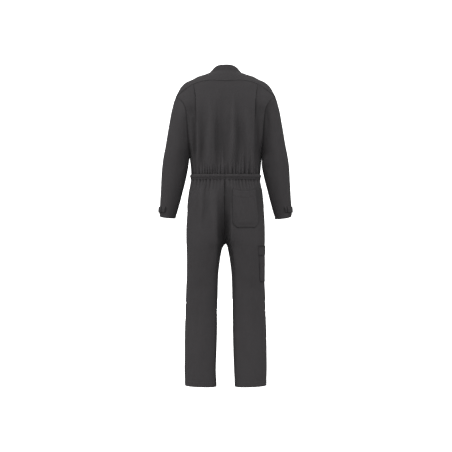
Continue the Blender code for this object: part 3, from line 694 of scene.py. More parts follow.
# Matching polyester thread, a little shinier than the cloth, with its twist as bumps.
THREAD = grained("sewing_thread", THREAD_COLOUR, (0.75, 1.25), (0.0, 1.0), 420.0, 2.0, 0.1,
                 Roughness=0.55, Sheen_Weight=0.15)
SEWING = sewing_tree()
BAR_TACK = {"pitch": 0.55, "length": 2.0, "width": 0.6}      # the stitches of a bar tack
CHARCOAL = (0.046, 0.043, 0.045)
FADED = (0.075, 0.071, 0.074)
TWILL = twill("charcoal_twill", CHARCOAL, FADED)


BACK_SIDE_HEIGHTS = (UNDERARM_Z, -446.0, -470.0, -488.0, -501.0, WAIST_TOP_Z)
BACK_EDGE_HEIGHTS = np.concatenate([[YOKE_END_Z], ARMHOLE["z"], BACK_SIDE_HEIGHTS])
BACK_ROWS = 128
BACK_LENGTH = 430.0       # from the yoke seam to the waistband
BACK_TOP_Z = -68.0        # the yoke seam where it crosses the pleats
PLEAT_LINES = np.array([-3.6, -1.8, -0.7, -0.1, 0.4, 1.0, 2.2, 4.0])     # columns beside a pleat's fold
PLEAT_MARGIN = 1.5        # from the outer ones to the even columns
INSIDE_COLUMNS = 62
OUTSIDE_COLUMNS = 32
OUTSIDE_WIDTH = 82.0      # from the pleat to the side seam
SIDE_SHADE = 13.0         # under the arms the back is painted darker, as shade, this far from its side seams


def back_edge_angle(z):
    """Angle of the side of the back: the armhole, and the side seam under it."""
    heights = BACK_EDGE_HEIGHTS
    along_armhole = body_angle(read(ARMHOLE, "x", heights), heights)
    turns = np.where((heights <= UNDERARM_Z) | (heights >= YOKE_END_Z), np.pi / 2, along_armhole)
    return smooth(heights, turns, z)


def yoke_seam_height(angle):
    """Height of the back yoke seam at an angle round the body."""
    seam_angles = body_angle(YOKE_SEAM["x"], YOKE_SEAM["z"])
    return smooth(seam_angles, YOKE_SEAM["z"], np.abs(angle))


def pleat_drop(x, z):
    """Depth of the pleats: a sharp fold where they are stitched, and a soft one where they hang."""
    away = np.abs(x) - read(PLEAT_LINE, "x", z)
    opening = step(PLEAT_TACK_Z, PLEAT_OPEN_Z, z)
    low, high = -0.8 - 5 * opening, 0.5 + 3 * opening
    depth = PLEAT_STEP * (0.75 + step(PLEAT_TACK_Z, PLEAT_DEEP_Z, z) - 0.6 * step(*PLEAT_CLOSE, z))
    under_yoke = smooth(YOKE_SEAM["x"], YOKE_SEAM["z"], np.abs(x)) - z
    fade = step(0, 50, under_yoke) * step(205, 172, np.abs(x))
    crack = 2.4 * hill(away - 1.2 - 2 * opening, 1.5 + 3 * opening)
    edge = 1.5 * hill(away + 3 + 5 * opening, 3 + 5 * opening)
    return fade * (edge - depth * step(low, high, away) - crack)


def back_height(x, z):
    """Folds, pleats, gathers and swells of the back, out from the form of the body."""
    side = read(BODY, "half_width", z)
    folds = FOLD_SIZE * creases(BACK_FOLDS, x, z, BACK_FOLD_PEAK) * step(side - 2, side - 26, np.abs(x))
    loose = drape(x, z, 11, 0.35) * step(-60, -120, z)
    return folds + pleat_drop(x, z) + gathers(BACK_GATHERS, x, z - WAIST_TOP_Z) + loose


def back_half_angles(share, edge_angle):
    """Angles of one row from the middle to the side, with columns that follow the pleat."""
    z = np.array(BACK_TOP_Z + (WAIST_TOP_Z - BACK_TOP_Z) * share)
    fold = body_angle(read(PLEAT_LINE, "x", z), z)
    per_mm = 1e-3 / (body_point(fold + 1e-3, z)[0] - body_point(fold, z)[0])
    inside = np.linspace(0, 1, INSIDE_COLUMNS + 1)[:-1] * (fold + (PLEAT_LINES[0] - PLEAT_MARGIN) * per_mm)
    start = fold + (PLEAT_LINES[-1] + PLEAT_MARGIN) * per_mm
    shares = seam_spaced(OUTSIDE_COLUMNS, OUTSIDE_WIDTH)
    outside = start + (edge_angle - start) * shares[shares > SEAM_LINES[-1] / OUTSIDE_WIDTH]
    return np.concatenate([inside, fold + PLEAT_LINES * per_mm, outside])


def back_grid():
    """The back from the yoke seam to the waistband, before its seams are folded."""
    rows = []
    top_half = back_half_angles(0.0, np.pi / 2)
    top_half[-1] = np.pi / 2
    top_angle = np.concatenate([top_half[::-1], -top_half[1:]])
    top = yoke_seam_height(top_angle)
    for share in seam_spaced(BACK_ROWS, BACK_LENGTH):
        edge_z = np.array(YOKE_END_Z + (WAIST_TOP_Z - YOKE_END_Z) * share)
        half = back_half_angles(share, back_edge_angle(edge_z))
        angle = np.concatenate([half[::-1], -half[1:]])
        z = top + (WAIST_TOP_Z - top) * share
        x = body_point(angle, z)[..., 0]
        rows.append(raised(body_point, angle, z, back_height(x, z)))
    return np.array(rows)


back_base = back_grid()
back = stitched_edges(back_base, {"start": 21, "end": 22})
back = tucked(tucked(back, "top"), "low")
back_x, back_z = back[..., 0], back[..., 2]
# Painted light: the back is painted darker, as shade, in the creases beside its side seams, under the yoke,
# above the waistband, along the fold of each pleat and under the arms, and painted paler on its fold tops and
# darker in its troughs. Only the paleness along the side seams is wear.
back_painted_light_and_wear = rub(back, ("start", "end")) + painted_border_shade(back, ("start", "end")) + 0.4 * painted_border_shade(back, ("top",), 5.0)
back_painted_light_and_wear += 0.4 * painted_border_shade(back, ("low",), 6.0)
beside_pleat = np.abs(back_x) - read(PLEAT_LINE, "x", back_z)
pleat_shade = 0.55 * hill(beside_pleat - 1.5, 2.0) * step(-56, -70, back_z)
pleat_shade *= 1 - 0.75 * step(PLEAT_TACK_Z, -330, back_z)
left_pleat_open = step(-128, -145, back_z) * (back_x > 0)       # below its tack the left one lies flatter
back_painted_light_and_wear -= pleat_shade * (1 - 0.7 * left_pleat_open)
back_painted_light_and_wear += relief_painted_light(back_height(back_x, back_z), back_z - WAIST_TOP_Z) * step(188, 166, np.abs(back_x))
back_painted_light_and_wear += 0.1 * painted_border_shade(back, ("start", "end"), SIDE_SHADE) * step(UNDERARM_Z - 20, -330, back_z)
back_piece = cloth_piece("back_panel", back, TWILL, rubbed=back_painted_light_and_wear)


def along_pleat(side, offset):
    """A line of stitches beside the fold of a pleat, from the yoke seam to its bar tack."""
    z = np.linspace(-72, PLEAT_TACK_Z, 26)
    x = side * (read(PLEAT_LINE, "x", z) + offset)
    angle = body_angle(x, z) * side
    points = raised(body_point, angle, z, back_height(x, z))
    aim = points - raised(body_point, angle, z, back_height(x, z) - 1)
    return points, aim


pleat_runs = [along_pleat(side, -2.0) for side in (1, -1)]
pleat_tacks = [bar_tack(points[-1] + aim[-1] * 0.3, np.array([1.0, 0, 0]), aim[-1])
               for points, aim in pleat_runs]
back_stitches = sew("back_stitches", lifted(lines_beside(back_base, ("start", "end"))) + pleat_runs)
pleat_tack_stitches = sew("pleat_bar_tacks", pleat_tacks, **BAR_TACK)

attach(back_piece, "root")
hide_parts("back")


# ============ the yoke
# One piece over both shoulders, from the back yoke seam to just in front of the shoulder line. Its
# edges are folded under and lie on the back, the fronts and the sleeves, with two rows of stitches.

YOKE_COLUMNS = 84         # behind, from the middle to the shoulder tip
YOKE_WRAP_COLUMNS = 15    # round the shoulder tip to the front
YOKE_ROWS = 34
YOKE_DEPTH = 75.0         # from the neck to its seam
NECK_FRONT_COLUMNS = 42   # front neckline of one front

# Neckline: behind from the middle to the shoulder, and in front from the shoulder to the middle.
NECK_BACK = table("x z", [(0, 4), (32, 4), (57, 1), (73, -3), (80, -7)])
NECK_FRONT = table("x z", [(78, -13), (74, -22), (66, -34), (52, -49), (32, -62), (0, -70)])
YOKE_FRONT_END = (236.0, -141.0)      # where the front yoke seam meets the armhole

# Drag lines that run from the neck out over the shoulders: place along the yoke and across it.
SHOULDER_FOLDS = table("x_top z_top x_low z_low height left right", [
    (96, -14, 150, -66, 1.1, 9, 12),
    (-104, -16, -162, -70, 1.2, 12, 9),
    (40, -2, 52, -52, 0.6, 12, 16),
    (-30, -2, -34, -54, 0.6, 14, 12),
    (178, -50, 214, -98, -0.9, 9, 9),
    (-184, -52, -218, -100, -0.8, 9, 9),
])


def neck_line():
    """The neckline of the left half as angle and height, for the yoke and for the front."""
    back_x = np.linspace(0, NECK_BACK["x"][-1], YOKE_COLUMNS + 1)
    back_z = smooth(NECK_BACK["x"], NECK_BACK["z"], back_x)
    side_x, side_z = NECK_BACK["x"][-1], NECK_BACK["z"][-1]
    end_x, end_z = NECK_FRONT["x"][0], NECK_FRONT["z"][0]
    wrap_z = np.linspace(side_z, end_z, YOKE_WRAP_COLUMNS + 1)[1:]
    wrap_x = np.linspace(side_x, end_x, YOKE_WRAP_COLUMNS + 1)[1:]
    front_x = end_x * np.cos(np.linspace(0, np.pi / 2, NECK_FRONT_COLUMNS + 1))
    front_z = smooth(NECK_FRONT["x"], NECK_FRONT["z"], front_x)
    back_angle = body_angle(back_x, back_z)
    wrap_angle = body_angle(wrap_x, wrap_z, front=True)
    front_angle = body_angle(front_x, front_z, front=True)
    yoke = (np.concatenate([back_angle, wrap_angle]), np.concatenate([back_z, wrap_z]))
    return yoke, (front_angle, front_z)


def yoke_half():
    """Angles and heights of the yoke's left half, rows from the neck to the outer edge."""
    (neck_angle, neck_z), _ = neck_line()
    seam_angle = np.linspace(0, np.pi / 2, YOKE_COLUMNS + 1)
    end_x, end_z = YOKE_FRONT_END
    end_angle = body_angle(np.array(end_x), np.array(end_z), front=True)
    wrap = np.linspace(0, 1, YOKE_WRAP_COLUMNS + 1)[1:]
    outer_angle = np.concatenate([seam_angle, np.pi / 2 + (end_angle - np.pi / 2) * wrap])
    outer_z = np.concatenate([yoke_seam_height(seam_angle), YOKE_END_Z + (end_z - YOKE_END_Z) * wrap])
    shares = seam_spaced(YOKE_ROWS, YOKE_DEPTH)
    angles = [neck_angle + (outer_angle - neck_angle) * t for t in shares]
    heights = [neck_z + (outer_z - neck_z) * t**1.5 for t in shares]
    return np.array(angles), np.array(heights)


def yoke_grid():
    """The whole yoke, from the neck to its outer edge, seen from outside."""
    angle, z = yoke_half()
    rows = []
    for side in (1, -1):
        x = body_point(angle, z)[..., 0] * side
        height = creases(SHOULDER_FOLDS, x, z) + drape(x, z, 31, 0.3)
        rows.append(raised(body_point, angle, z, height) * (side, 1, 1))
    left, right = rows
    right[:, 0] = left[:, 0]
    return np.concatenate([left[:, ::-1], right[:, 1:]], axis=1)


YOKE_SEAMS = ("low", "start", "end")
yoke_base = yoke_grid()
yoke = tucked(stitched_edges(yoke_base, dict(zip(YOKE_SEAMS, (41, 42, 43)))), "top", reach=2.0)
# The yoke is worn pale on the folds of its seams and painted darker, as shade, in the crease beside them.
yoke_piece = cloth_piece("yoke_panel", yoke, TWILL, rubbed=rub(yoke, YOKE_SEAMS) + painted_border_shade(yoke, YOKE_SEAMS))
yoke_stitches = sew("yoke_stitches", lifted(lines_beside(yoke_base, YOKE_SEAMS)))

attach(yoke_piece, "root")
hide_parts("yoke")


# ============ the fronts
# Two panels from the yoke and the neckline to the waist. They are folded over the sleeves at the
# armhole, run under the back at the side seam, and meet under the covering strip in the middle.

FRONT_EDGE_HEIGHTS = np.concatenate([ARMHOLE["z"][1:], [UNDERARM_Z, -446, -480, WAIST_TOP_Z]])
FRONT_ROWS = 112
FRONT_LENGTH = 400.0
FRONT_SEAM_LOW_Z = -412.0     # its stitches end here, where the armhole runs under the back

# Soft folds of one front, as seen on the wearer's left: they hang from the shoulder and the chest.
FRONT_FOLDS = table("x_top z_top x_low z_low height left right", [
    (176, -170, 140, -330, 2.2, 9, 12),
    (196, -210, 166, -400, -1.8, 8, 8),
    (120, -120, 116, -440, 1.9, 12, 16),
    (88, -230, 84, -500, -1.7, 12, 10),
    (58, -130, 54, -400, 1.0, 10, 12),
    (146, -350, 150, -511, 1.8, 8, 9),
    (108, -420, 106, -512, 1.5, 6, 7),
    (70, -440, 68, -512, 1.3, 6, 6),
    (172, -400, 168, -512, -1.5, 6, 7),
])
# The same on the wearer's right, which hangs a little differently.
RIGHT_FRONT_FOLDS = table("x_top z_top x_low z_low height left right", [
    (172, -160, 146, -300, 2.0, 10, 12),
    (198, -220, 170, -380, -1.9, 8, 9),
    (128, -140, 122, -470, 1.7, 14, 12),
    (96, -260, 96, -490, -1.9, 10, 12),
    (52, -150, 50, -360, 1.1, 10, 10),
    (138, -380, 140, -511, 1.7, 7, 9),
    (86, -410, 82, -512, 1.6, 7, 6),
    (164, -430, 160, -512, -1.4, 6, 6),
])


def front_grid(folds, seed):
    """One front in the left-hand place, from the middle to the armhole, seen from outside."""
    yoke_angles, yoke_heights = yoke_half()
    _, (neck_angle, neck_z) = neck_line()
    top_angle = np.concatenate([yoke_angles[::-1, -1], neck_angle[1:]])
    top_z = np.concatenate([yoke_heights[::-1, -1], neck_z[1:]])
    along_top = distances(body_point(top_angle, top_z)[None])[0]
    across = 1 - along_top / along_top[-1]
    top_edge_z = YOKE_FRONT_END[1]
    edge_heights = np.concatenate([[top_edge_z], FRONT_EDGE_HEIGHTS])
    edge_turns = np.concatenate([[np.pi - top_angle[0]], back_edge_angle(FRONT_EDGE_HEIGHTS)])
    rows = []
    for share in seam_spaced(FRONT_ROWS, FRONT_LENGTH):
        edge_z = top_edge_z + (WAIST_TOP_Z - top_edge_z) * share
        z = top_z + (WAIST_TOP_Z - top_z) * share
        edge_turn = smooth(edge_heights, edge_turns, np.array(edge_z))
        like_top = (np.pi - top_angle) * edge_turn / (np.pi - top_angle[0])
        turn = like_top + (edge_turn * across - like_top) * min(1, share * 2.5)
        x = body_point(np.pi - turn, z)[..., 0]
        height = creases(folds, x, z) + drape(x, z, seed, 0.5) * step(0, 30, x)
        rows.append(raised(body_point, np.pi - turn, z, height))
    return np.array(rows)[:, ::-1]


def tucked_unless(grid, border, on_top):
    """The grid with a border that is tucked under its neighbour, save where on_top is 1."""
    return tucked(grid, border, reach=0.3 + (TUCK_REACH - 0.3) * (1 - on_top),
                  depth=0.3 + (TUCK_DEPTH - 0.3) * (1 - on_top))


front_bases = {}
for side, word, folds in ((1, "left", FRONT_FOLDS), (-1, "right", RIGHT_FRONT_FOLDS)):
    base = front_grid(folds, 50 + side)
    front_bases[side] = base
    over_sleeve = step(-432, -404, base[:, -1, 2])
    front = stitched_edge(base, "end", 55 + side, weight=over_sleeve)
    front = tucked_unless(front, "end", over_sleeve)
    front = tucked(tucked(tucked(front, "top"), "low"), "start")
    panel = cloth_piece(f"front_panel_{word}", front, TWILL, mirror=side < 0, rubbed=rub(front, ("end",)))
    last = int(np.argmin(np.abs(base[:, -1, 2] - FRONT_SEAM_LOW_Z)))
    runs = [line_beside(base, "end", row, last=last) for row in STITCH_ROWS]
    stitches = sew(f"front_stitches_{word}", on_side(lifted(runs), side))
    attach(panel, "root")
    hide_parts(f"front_{word}")


# ============ the collar
# A low stand collar of two layers, folded along its top edge and sewn round the neckline. Its ends
# meet at the middle of the front.

COLLAR_WALL = 2.6
COLLAR_RISE = 23.5
COLLAR_BURY = 0.9         # its foot goes this far down behind the neckline
COLLAR_LEAN = 6.0         # its top leans inward by this much, and by more at the sides of the neck
COLLAR_SIDE_LEAN = 12.0
COLLAR_SIDE_DROP = 5.0
COLLAR_ROWS = 16
COLLAR_TOP_STITCH = 5.0   # its rows of stitches, from its top edge and from its foot
COLLAR_FOOT_STITCH = 1.6
CHARCOAL_FOLDED = (0.043, 0.04, 0.042)
FOLDED_TWILL = twill("charcoal_twill_folded", CHARCOAL_FOLDED, FADED)


def collar_grid():
    """The outer side of the collar and its rounded top edge, from the top down to the neckline."""
    (yoke_angle, yoke_z), (front_angle, front_z) = neck_line()
    angle = np.concatenate([yoke_angle, front_angle[1:]])
    z = np.concatenate([yoke_z, front_z[1:]])
    half = body_point(angle, z)
    ring = np.concatenate([half[::-1], half[1:] * (-1, 1, 1)])
    along = distances(ring[None])[0]
    sideways = (np.abs(ring[:, 0]) / 80) ** 2
    lean = COLLAR_LEAN + COLLAR_SIDE_LEAN * sideways
    inward = -ring[:, :2] / np.linalg.norm(ring[:, :2], axis=1, keepdims=True)
    rows = []
    for share in seam_spaced(COLLAR_ROWS, 24)[::-1]:
        row = ring.copy()
        bow = math.sin(math.pi * share) * 1.5 + 0.5 * waver(along, 61, 70) * share
        row[:, :2] += inward * (lean * share - bow)[:, None]
        row[:, 2] += (COLLAR_RISE + COLLAR_BURY - COLLAR_SIDE_DROP * sideways) * share - COLLAR_BURY
        row[:, :2] -= inward * (0.9 * (1 - share) ** 4)
        row[:, 2] += 0.4 * waver(along, 62, 55) * share
        rows.append(row)
    return np.array(rows)


collar_base = collar_grid()
collar = stitched_edge(collar_base, "low", 63, lift=0.5, width=3.0, rows=(COLLAR_FOOT_STITCH,))
collar = stitched_edge(collar, "top", 64, lift=0.7, width=5.2, rows=(COLLAR_TOP_STITCH,))
collar_piece = cloth_piece("stand_collar", collar, FOLDED_TWILL, wall=COLLAR_WALL,
                           rubbed=rub(collar, ("top",), 3))
roll = collar_piece.modifiers.new("Rolled edge", "BEVEL")
roll.width = 1.15 * MM
roll.segments = 3
roll.limit_method = "ANGLE"
roll.angle_limit = math.radians(50)
collar_runs = [line_beside(collar_base, border, row)
               for border, row in (("top", COLLAR_TOP_STITCH), ("low", COLLAR_FOOT_STITCH))]
collar_stitches = sew("collar_stitches", lifted(collar_runs, 0.35))

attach(collar_piece, "root")
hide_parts("collar")


# ============ the sleeves
# One tube each, set into the dropped armhole so that its top runs under the body panels, with one
# seam along the inside of the arm and a hem that is turned up twice at the wrist.

SLEEVE = table("z outer inner depth middle_y", [
    (-128, 248, 126, 86, 0),
    (-145, 255, 132, 86, 0),
    (-175, 263.5, 139, 85, 0),
    (-205, 271, 144, 84, 0),
    (-265, 281, 152, 82, 0),
    (-325, 291, 161, 80, -1),
    (-385, 302, 172, 77, -3),
    (-420, 309, 182, 75, -5),
    (-445, 313, 184, 73, -6),
    (-490, 318, 189, 70, -9),
    (-520, 320, 194, 68, -11),
    (-580, 323, 208, 63, -16),
    (-640, 327, 224, 57, -22),
    (-700, 332, 241, 50, -28),
    (-727, 334, 249, 48, -30),
])
CUFF_Z = {1: -732.5, -1: -736.0}
CUFF_RISE = {1: 9.0, -1: 12.5}      # the hem is this much higher on its outer side
CUFF_FLARE = 4.2
CUFF_HEM = 24.0
UNDERARM_EASE = 0.9
RIGHT_EASE = 3.8          # the right sleeve is fuller on its inner side, most at its elbow
ELBOW_EASE = 2.6
ELBOW_Z = -448.0
ARMHOLE_PAINTED_LINE = {1: 0.8, -1: 0.35}   # how dark a painted line of shade makes each sleeve right beside its armhole
ARMHOLE_PAINTED_LIGHT = {1: 0.18, -1: -0.5}  # painted light in the hollow beside each armhole: the left sleeve is painted paler there, the right one darker, as shade
SLEEVE_ROWS = 132
SLEEVE_LENGTH = 430.0
ARMHOLE_COLUMNS = 150
ARMHOLE_STEP = 2.2        # from one column to the next, round the hem

SLEEVE_CREASE_SIZE = 1.4
ARM_RADIUS = 60.0         # its mean, for the slant of the creases
# Creases of one sleeve: the angle round it (0 outer side, 90 back, 180 inner side, 270 front) and
# the height of both ends, then height (minus for a trough) and half width, in millimetres.
SLEEVE_CREASES = table("turn_top z_top turn_low z_low height width", [
    (128, -150, 142, -330, -3.2, 13),
    (112, -170, 122, -350, 1.7, 12),
    (84, -150, 92, -300, -1.2, 16),
    (150, -210, 158, -420, 1.8, 10),
    (236, -150, 214, -320, -3.0, 13),
    (258, -170, 240, -360, 1.8, 12),
    (205, -395, 250, -470, -2.0, 8),
    (200, -440, 262, -492, 1.7, 8),
    (196, -455, 244, -520, -2.2, 7),
    (205, -500, 258, -556, 1.3, 8),
    (150, -470, 108, -520, -1.1, 9),
    (158, -520, 118, -560, 0.9, 9),
    (300, -230, 292, -420, 1.0, 14),
    (60, -430, 66, -610, 0.8, 15),
    (190, -600, 232, -660, -1.2, 9),
    (160, -620, 128, -668, -0.8, 9),
])
RIGHT_SLEEVE_CREASES = table("turn_top z_top turn_low z_low height width", [
    (126, -155, 134, -345, -4.6, 15),
    (103, -160, 110, -330, 2.6, 11),
    (146, -190, 152, -400, 1.8, 9),
    (80, -170, 84, -280, -1.0, 14),
    (238, -150, 218, -300, -2.8, 12),
    (262, -180, 246, -380, 1.9, 12),
    (202, -410, 246, -480, -2.2, 8),
    (204, -452, 256, -512, 1.6, 8),
    (198, -480, 240, -540, -1.9, 7),
    (152, -480, 112, -536, -1.2, 9),
    (296, -250, 300, -440, 0.9, 14),
    (56, -420, 60, -590, 0.9, 15),
    (192, -612, 236, -668, -1.1, 9),
])


def sleeve_point(angle, z):
    """The left sleeve: angle 0 is its outer side, 90 degrees its back and 180 its inner side."""
    outer, inner = read(SLEEVE, "outer", z), read(SLEEVE, "inner", z)
    x = (outer + inner) / 2 + (outer - inner) / 2 * np.cos(angle)
    y = read(SLEEVE, "middle_y", z) + read(SLEEVE, "depth", z) * np.sin(angle)
    return np.stack([x, y, z], axis=-1)


def two_halves(start, middle, end):
    """Even steps round a sleeve from start to end, with the middle one at the underarm."""
    half = ARMHOLE_COLUMNS // 2
    return np.concatenate([np.linspace(start, middle, half + 1), np.linspace(middle, end, half + 1)[1:-1]])


def armhole_loop(side):
    """The armhole as an even ring: shoulder, down the back to the underarm, and up the front."""
    behind = back_base[:, 0] if side > 0 else back_base[:, -1] * (-1, 1, 1)
    behind = behind[behind[:, 2] >= UNDERARM_Z - 0.01]
    before = front_bases[side][:, -1]
    before = before[before[:, 2] >= UNDERARM_Z - 0.01][::-1]
    around = yoke_base[-1, ::side][:YOKE_WRAP_COLUMNS + 1] * (side, 1, 1)
    ring = np.concatenate([behind, before, around[1:]])
    travelled = distances(ring[None])[0]
    lowest = travelled[int(np.argmin(ring[:, 2]))]
    at = two_halves(0, lowest, travelled[-1])
    return np.stack([np.interp(at, travelled, ring[:, i]) for i in range(3)], axis=-1)


def sleeve_folds(source, angle, z, reach):
    """Height of the creases of a sleeve; reach is its radius, which turns angles into lengths."""
    height = np.zeros_like(z)
    for turn_top, z_top, turn_low, z_low, size, width in zip(*source.values()):
        start, end = math.radians(turn_top), math.radians(turn_low)
        run = np.array([(end - start) * ARM_RADIUS, z_low - z_top])
        length = np.linalg.norm(run)
        away = (np.mod(angle - start + np.pi, 2 * np.pi) - np.pi) * reach
        t = (away * run[0] + (z - z_top) * run[1]) / length**2
        aside = (away * run[1] - (z - z_top) * run[0]) / length
        bow = 0.06 * length * np.sin(np.pi * np.clip(t, 0, 1))
        taper = np.sin(np.pi * np.clip(t, 0, 1)) ** 0.8
        spread = width * (0.65 + 0.5 * taper)
        height += SLEEVE_CREASE_SIZE * size * taper * hill(aside - bow, spread)
    return height


def sleeve_grid(side, source, seed):
    """One sleeve in the left-hand place: rings from the armhole, each lower and rounder."""
    loop = armhole_loop(side)
    loop[:, 0] += UNDERARM_EASE * step(-370, UNDERARM_Z, loop[:, 2])
    even = two_halves(0, np.pi, 2 * np.pi)
    z = loop[:, 2]
    middle_x = (read(SLEEVE, "outer", z) + read(SLEEVE, "inner", z)) / 2
    half_width = (read(SLEEVE, "outer", z) - read(SLEEVE, "inner", z)) / 2
    start = np.unwrap(np.arctan2((loop[:, 1] - read(SLEEVE, "middle_y", z)) / read(SLEEVE, "depth", z),
                                 (loop[:, 0] - middle_x) / half_width))
    offset = loop - sleeve_point(start, z)
    low_z = CUFF_Z[side] + CUFF_RISE[side] * (0.5 + 0.5 * np.cos(even)) ** 2.5
    rows = []
    for share in seam_spaced(SLEEVE_ROWS, SLEEVE_LENGTH):
        height = z + (low_z - z) * share
        angle = start + (even - start) * step(0, 0.75, share)
        fade = np.exp(-(z - height) / 45)[:, None]
        depth = read(SLEEVE, "depth", height)
        folds = sleeve_folds(source, angle, height, depth) * step(0, 14, z - height)
        loose = drape(angle * depth, height, seed, 0.55) * step(0, 25, z - height)
        hem = step(CUFF_HEM + 0.6, CUFF_HEM - 0.6, height - low_z)
        folds *= 1 - 0.75 * step(CUFF_HEM + 20, CUFF_HEM, height - low_z)
        loose = loose + 0.5 * hem + CUFF_FLARE * step(20, 0, height - low_z) * step(0.2, 0.9, np.cos(even))
        row = raised(sleeve_point, angle, height, folds + loose) + offset * fade
        if side < 0:
            ease = RIGHT_EASE * (1 + ELBOW_EASE * hill(height - ELBOW_Z, 34))
            row[:, 0] -= ease * np.clip(-np.cos(angle), 0, 1) * step(10, 90, z - height)
        rows.append(row)
    return np.array(rows)


def around_ring(run):
    """A line of stitches that closes on its first point."""
    points, aim = run
    return np.concatenate([points, points[:1]]), np.concatenate([aim, aim[:1]])


def hem_finish(grid, hem, along, seed, wavelength):
    """The grid with its hem's row of stitches pressed in and puckered, and where it is turned up."""
    from_hem = from_border(grid, "low")
    dent = -0.35 * hill(from_hem - hem + HEM_ROW, 0.9)
    pucker = RIPPLE * waver(along, seed, wavelength) * np.exp(-np.abs(from_hem - hem) / 9)
    grid = grid + outward(grid) * (dent + pucker)[..., None]
    return grid, step(hem + 1, hem - 1, from_hem)


UNDERARM_COLUMN = ARMHOLE_COLUMNS // 2
SEAM_GROOVE = 0.9 * hill(np.arange(ARMHOLE_COLUMNS) - UNDERARM_COLUMN, 0.55)
SEAM_START = 6            # row below the armhole's own at which the stitches of the seam begin
along_cuff = np.arange(ARMHOLE_COLUMNS)[None] * ARMHOLE_STEP
for side, word, source in ((1, "left", SLEEVE_CREASES), (-1, "right", RIGHT_SLEEVE_CREASES)):
    base = sleeve_grid(side, source, 70 + side)
    sleeve = base - outward(base) * SEAM_GROOVE[None, :, None]
    sleeve, hemmed = hem_finish(sleeve, CUFF_HEM, along_cuff, 75 + side, RIPPLE_LENGTH)
    sleeve = tucked(sleeve, "top")
    hemmed = np.pad(hemmed, ((1, 0), (0, 0)))
    # Painted light beside each armhole: a painted line of shade right beside it and a broad painted tone in
    # the hollow, paler on the left sleeve and darker on the right. The crease under the top edge is painted
    # darker too, and the hem's fold is worn pale.
    beyond = np.maximum(sleeve[..., 0] - read(ARMHOLE, "x", sleeve[..., 2]), 0)
    sleeve_painted_light = ARMHOLE_PAINTED_LIGHT[side] * hill(beyond, 30) - ARMHOLE_PAINTED_LINE[side] * hill(beyond, 4)
    sleeve_painted_light = sleeve_painted_light * step(-140, -175, sleeve[..., 2]) * step(-450, -400, sleeve[..., 2])
    painted_light_and_wear = rub(sleeve, ("low",), 3) + painted_border_shade(sleeve, ("top",), 3.4) + sleeve_painted_light
    tube = cloth_piece(f"sleeve_tube_{word}", sleeve, TWILL, mirror=side < 0, closed=True, hemmed=hemmed,
                       rubbed=painted_light_and_wear)
    runs = [around_ring(line_beside(base, "low", CUFF_HEM - HEM_ROW))]
    runs += [(base[SEAM_START:-1, column], outward(base)[SEAM_START:-1, column])
             for column in (UNDERARM_COLUMN - 1, UNDERARM_COLUMN + 1)]
    stitches = sew(f"sleeve_stitches_{word}", on_side(runs, side))
    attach(tube, "root")
    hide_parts(f"sleeve_{word}")


# ============ the cuff tabs
# A strap of two layers sewn round the outer side of each cuff. It takes in the width of the hem in
# one small upright pleat, and it is edge-stitched all round.

CUFF_TAB_Z = (-673.0, -703.0)
CUFF_TAB_ANGLES = {1: (72.0, -58.0), -1: (80.0, -58.0)}     # from the back of a cuff round its outside
CUFF_TAB_COLUMNS = 96
CUFF_TAB_STEP = 1.25      # from one column to the next
CUFF_TAB_ROWS = 22
CUFF_RADIUS = 46.0        # where the tab lies
TAB_CORNER = 5.0
TAB_LIFT = 2.6
TAB_WALL = 1.7
TAB_PLEAT = {1: 47.0, -1: 65.0}         # its angle round the cuff
TAB_PLEAT_WIDTH = 3.2
# how dark the painted shade in the crack of the pleat makes the strap
TAB_PLEAT_SHADE = 1.6
TAB_EDGES = ("top", "low", "start", "end")
TAB_STITCH = (2.0,)       # one row of stitches runs this far inside them


def cuff_tab_grid(side, seed):
    """The tab in the left-hand place, its ends with rounded corners, seen from outside."""
    angle = np.radians(np.linspace(*CUFF_TAB_ANGLES[side], CUFF_TAB_COLUMNS + 1))
    z_middle, z_half = sum(CUFF_TAB_Z) / 2, (CUFF_TAB_Z[0] - CUFF_TAB_Z[1]) / 2
    column = np.arange(CUFF_TAB_COLUMNS + 1)
    from_end = np.minimum(column, column[::-1]) * CUFF_TAB_STEP
    short = np.clip(1 - from_end / TAB_CORNER, 0, 1)
    reach = z_half - TAB_CORNER + TAB_CORNER * np.sqrt(1 - short**2)
    rows = []
    for share in seam_spaced(CUFF_TAB_ROWS, 2 * z_half):
        z = z_middle + reach * (1 - 2 * share)
        away = (angle - math.radians(TAB_PLEAT[side])) * CUFF_RADIUS
        bulge = 1.3 * np.sin(np.pi * share) ** 0.6 + 0.4 * waver(away, seed, 30)
        pleat = 2.0 * hill(away - 4.5, 3.4) + 1.6 * hill(away + 5.5, 4)
        crack = 3.4 * hill(away, TAB_PLEAT_WIDTH) * step(0.92, 0.55, share)
        flat = sleeve_point(angle, z)
        out = np.stack([np.cos(angle), np.sin(angle), 0 * angle], axis=-1)
        rows.append(flat + out * (TAB_LIFT + bulge + pleat * np.sin(np.pi * share) - crack)[:, None])
    return np.array(rows)


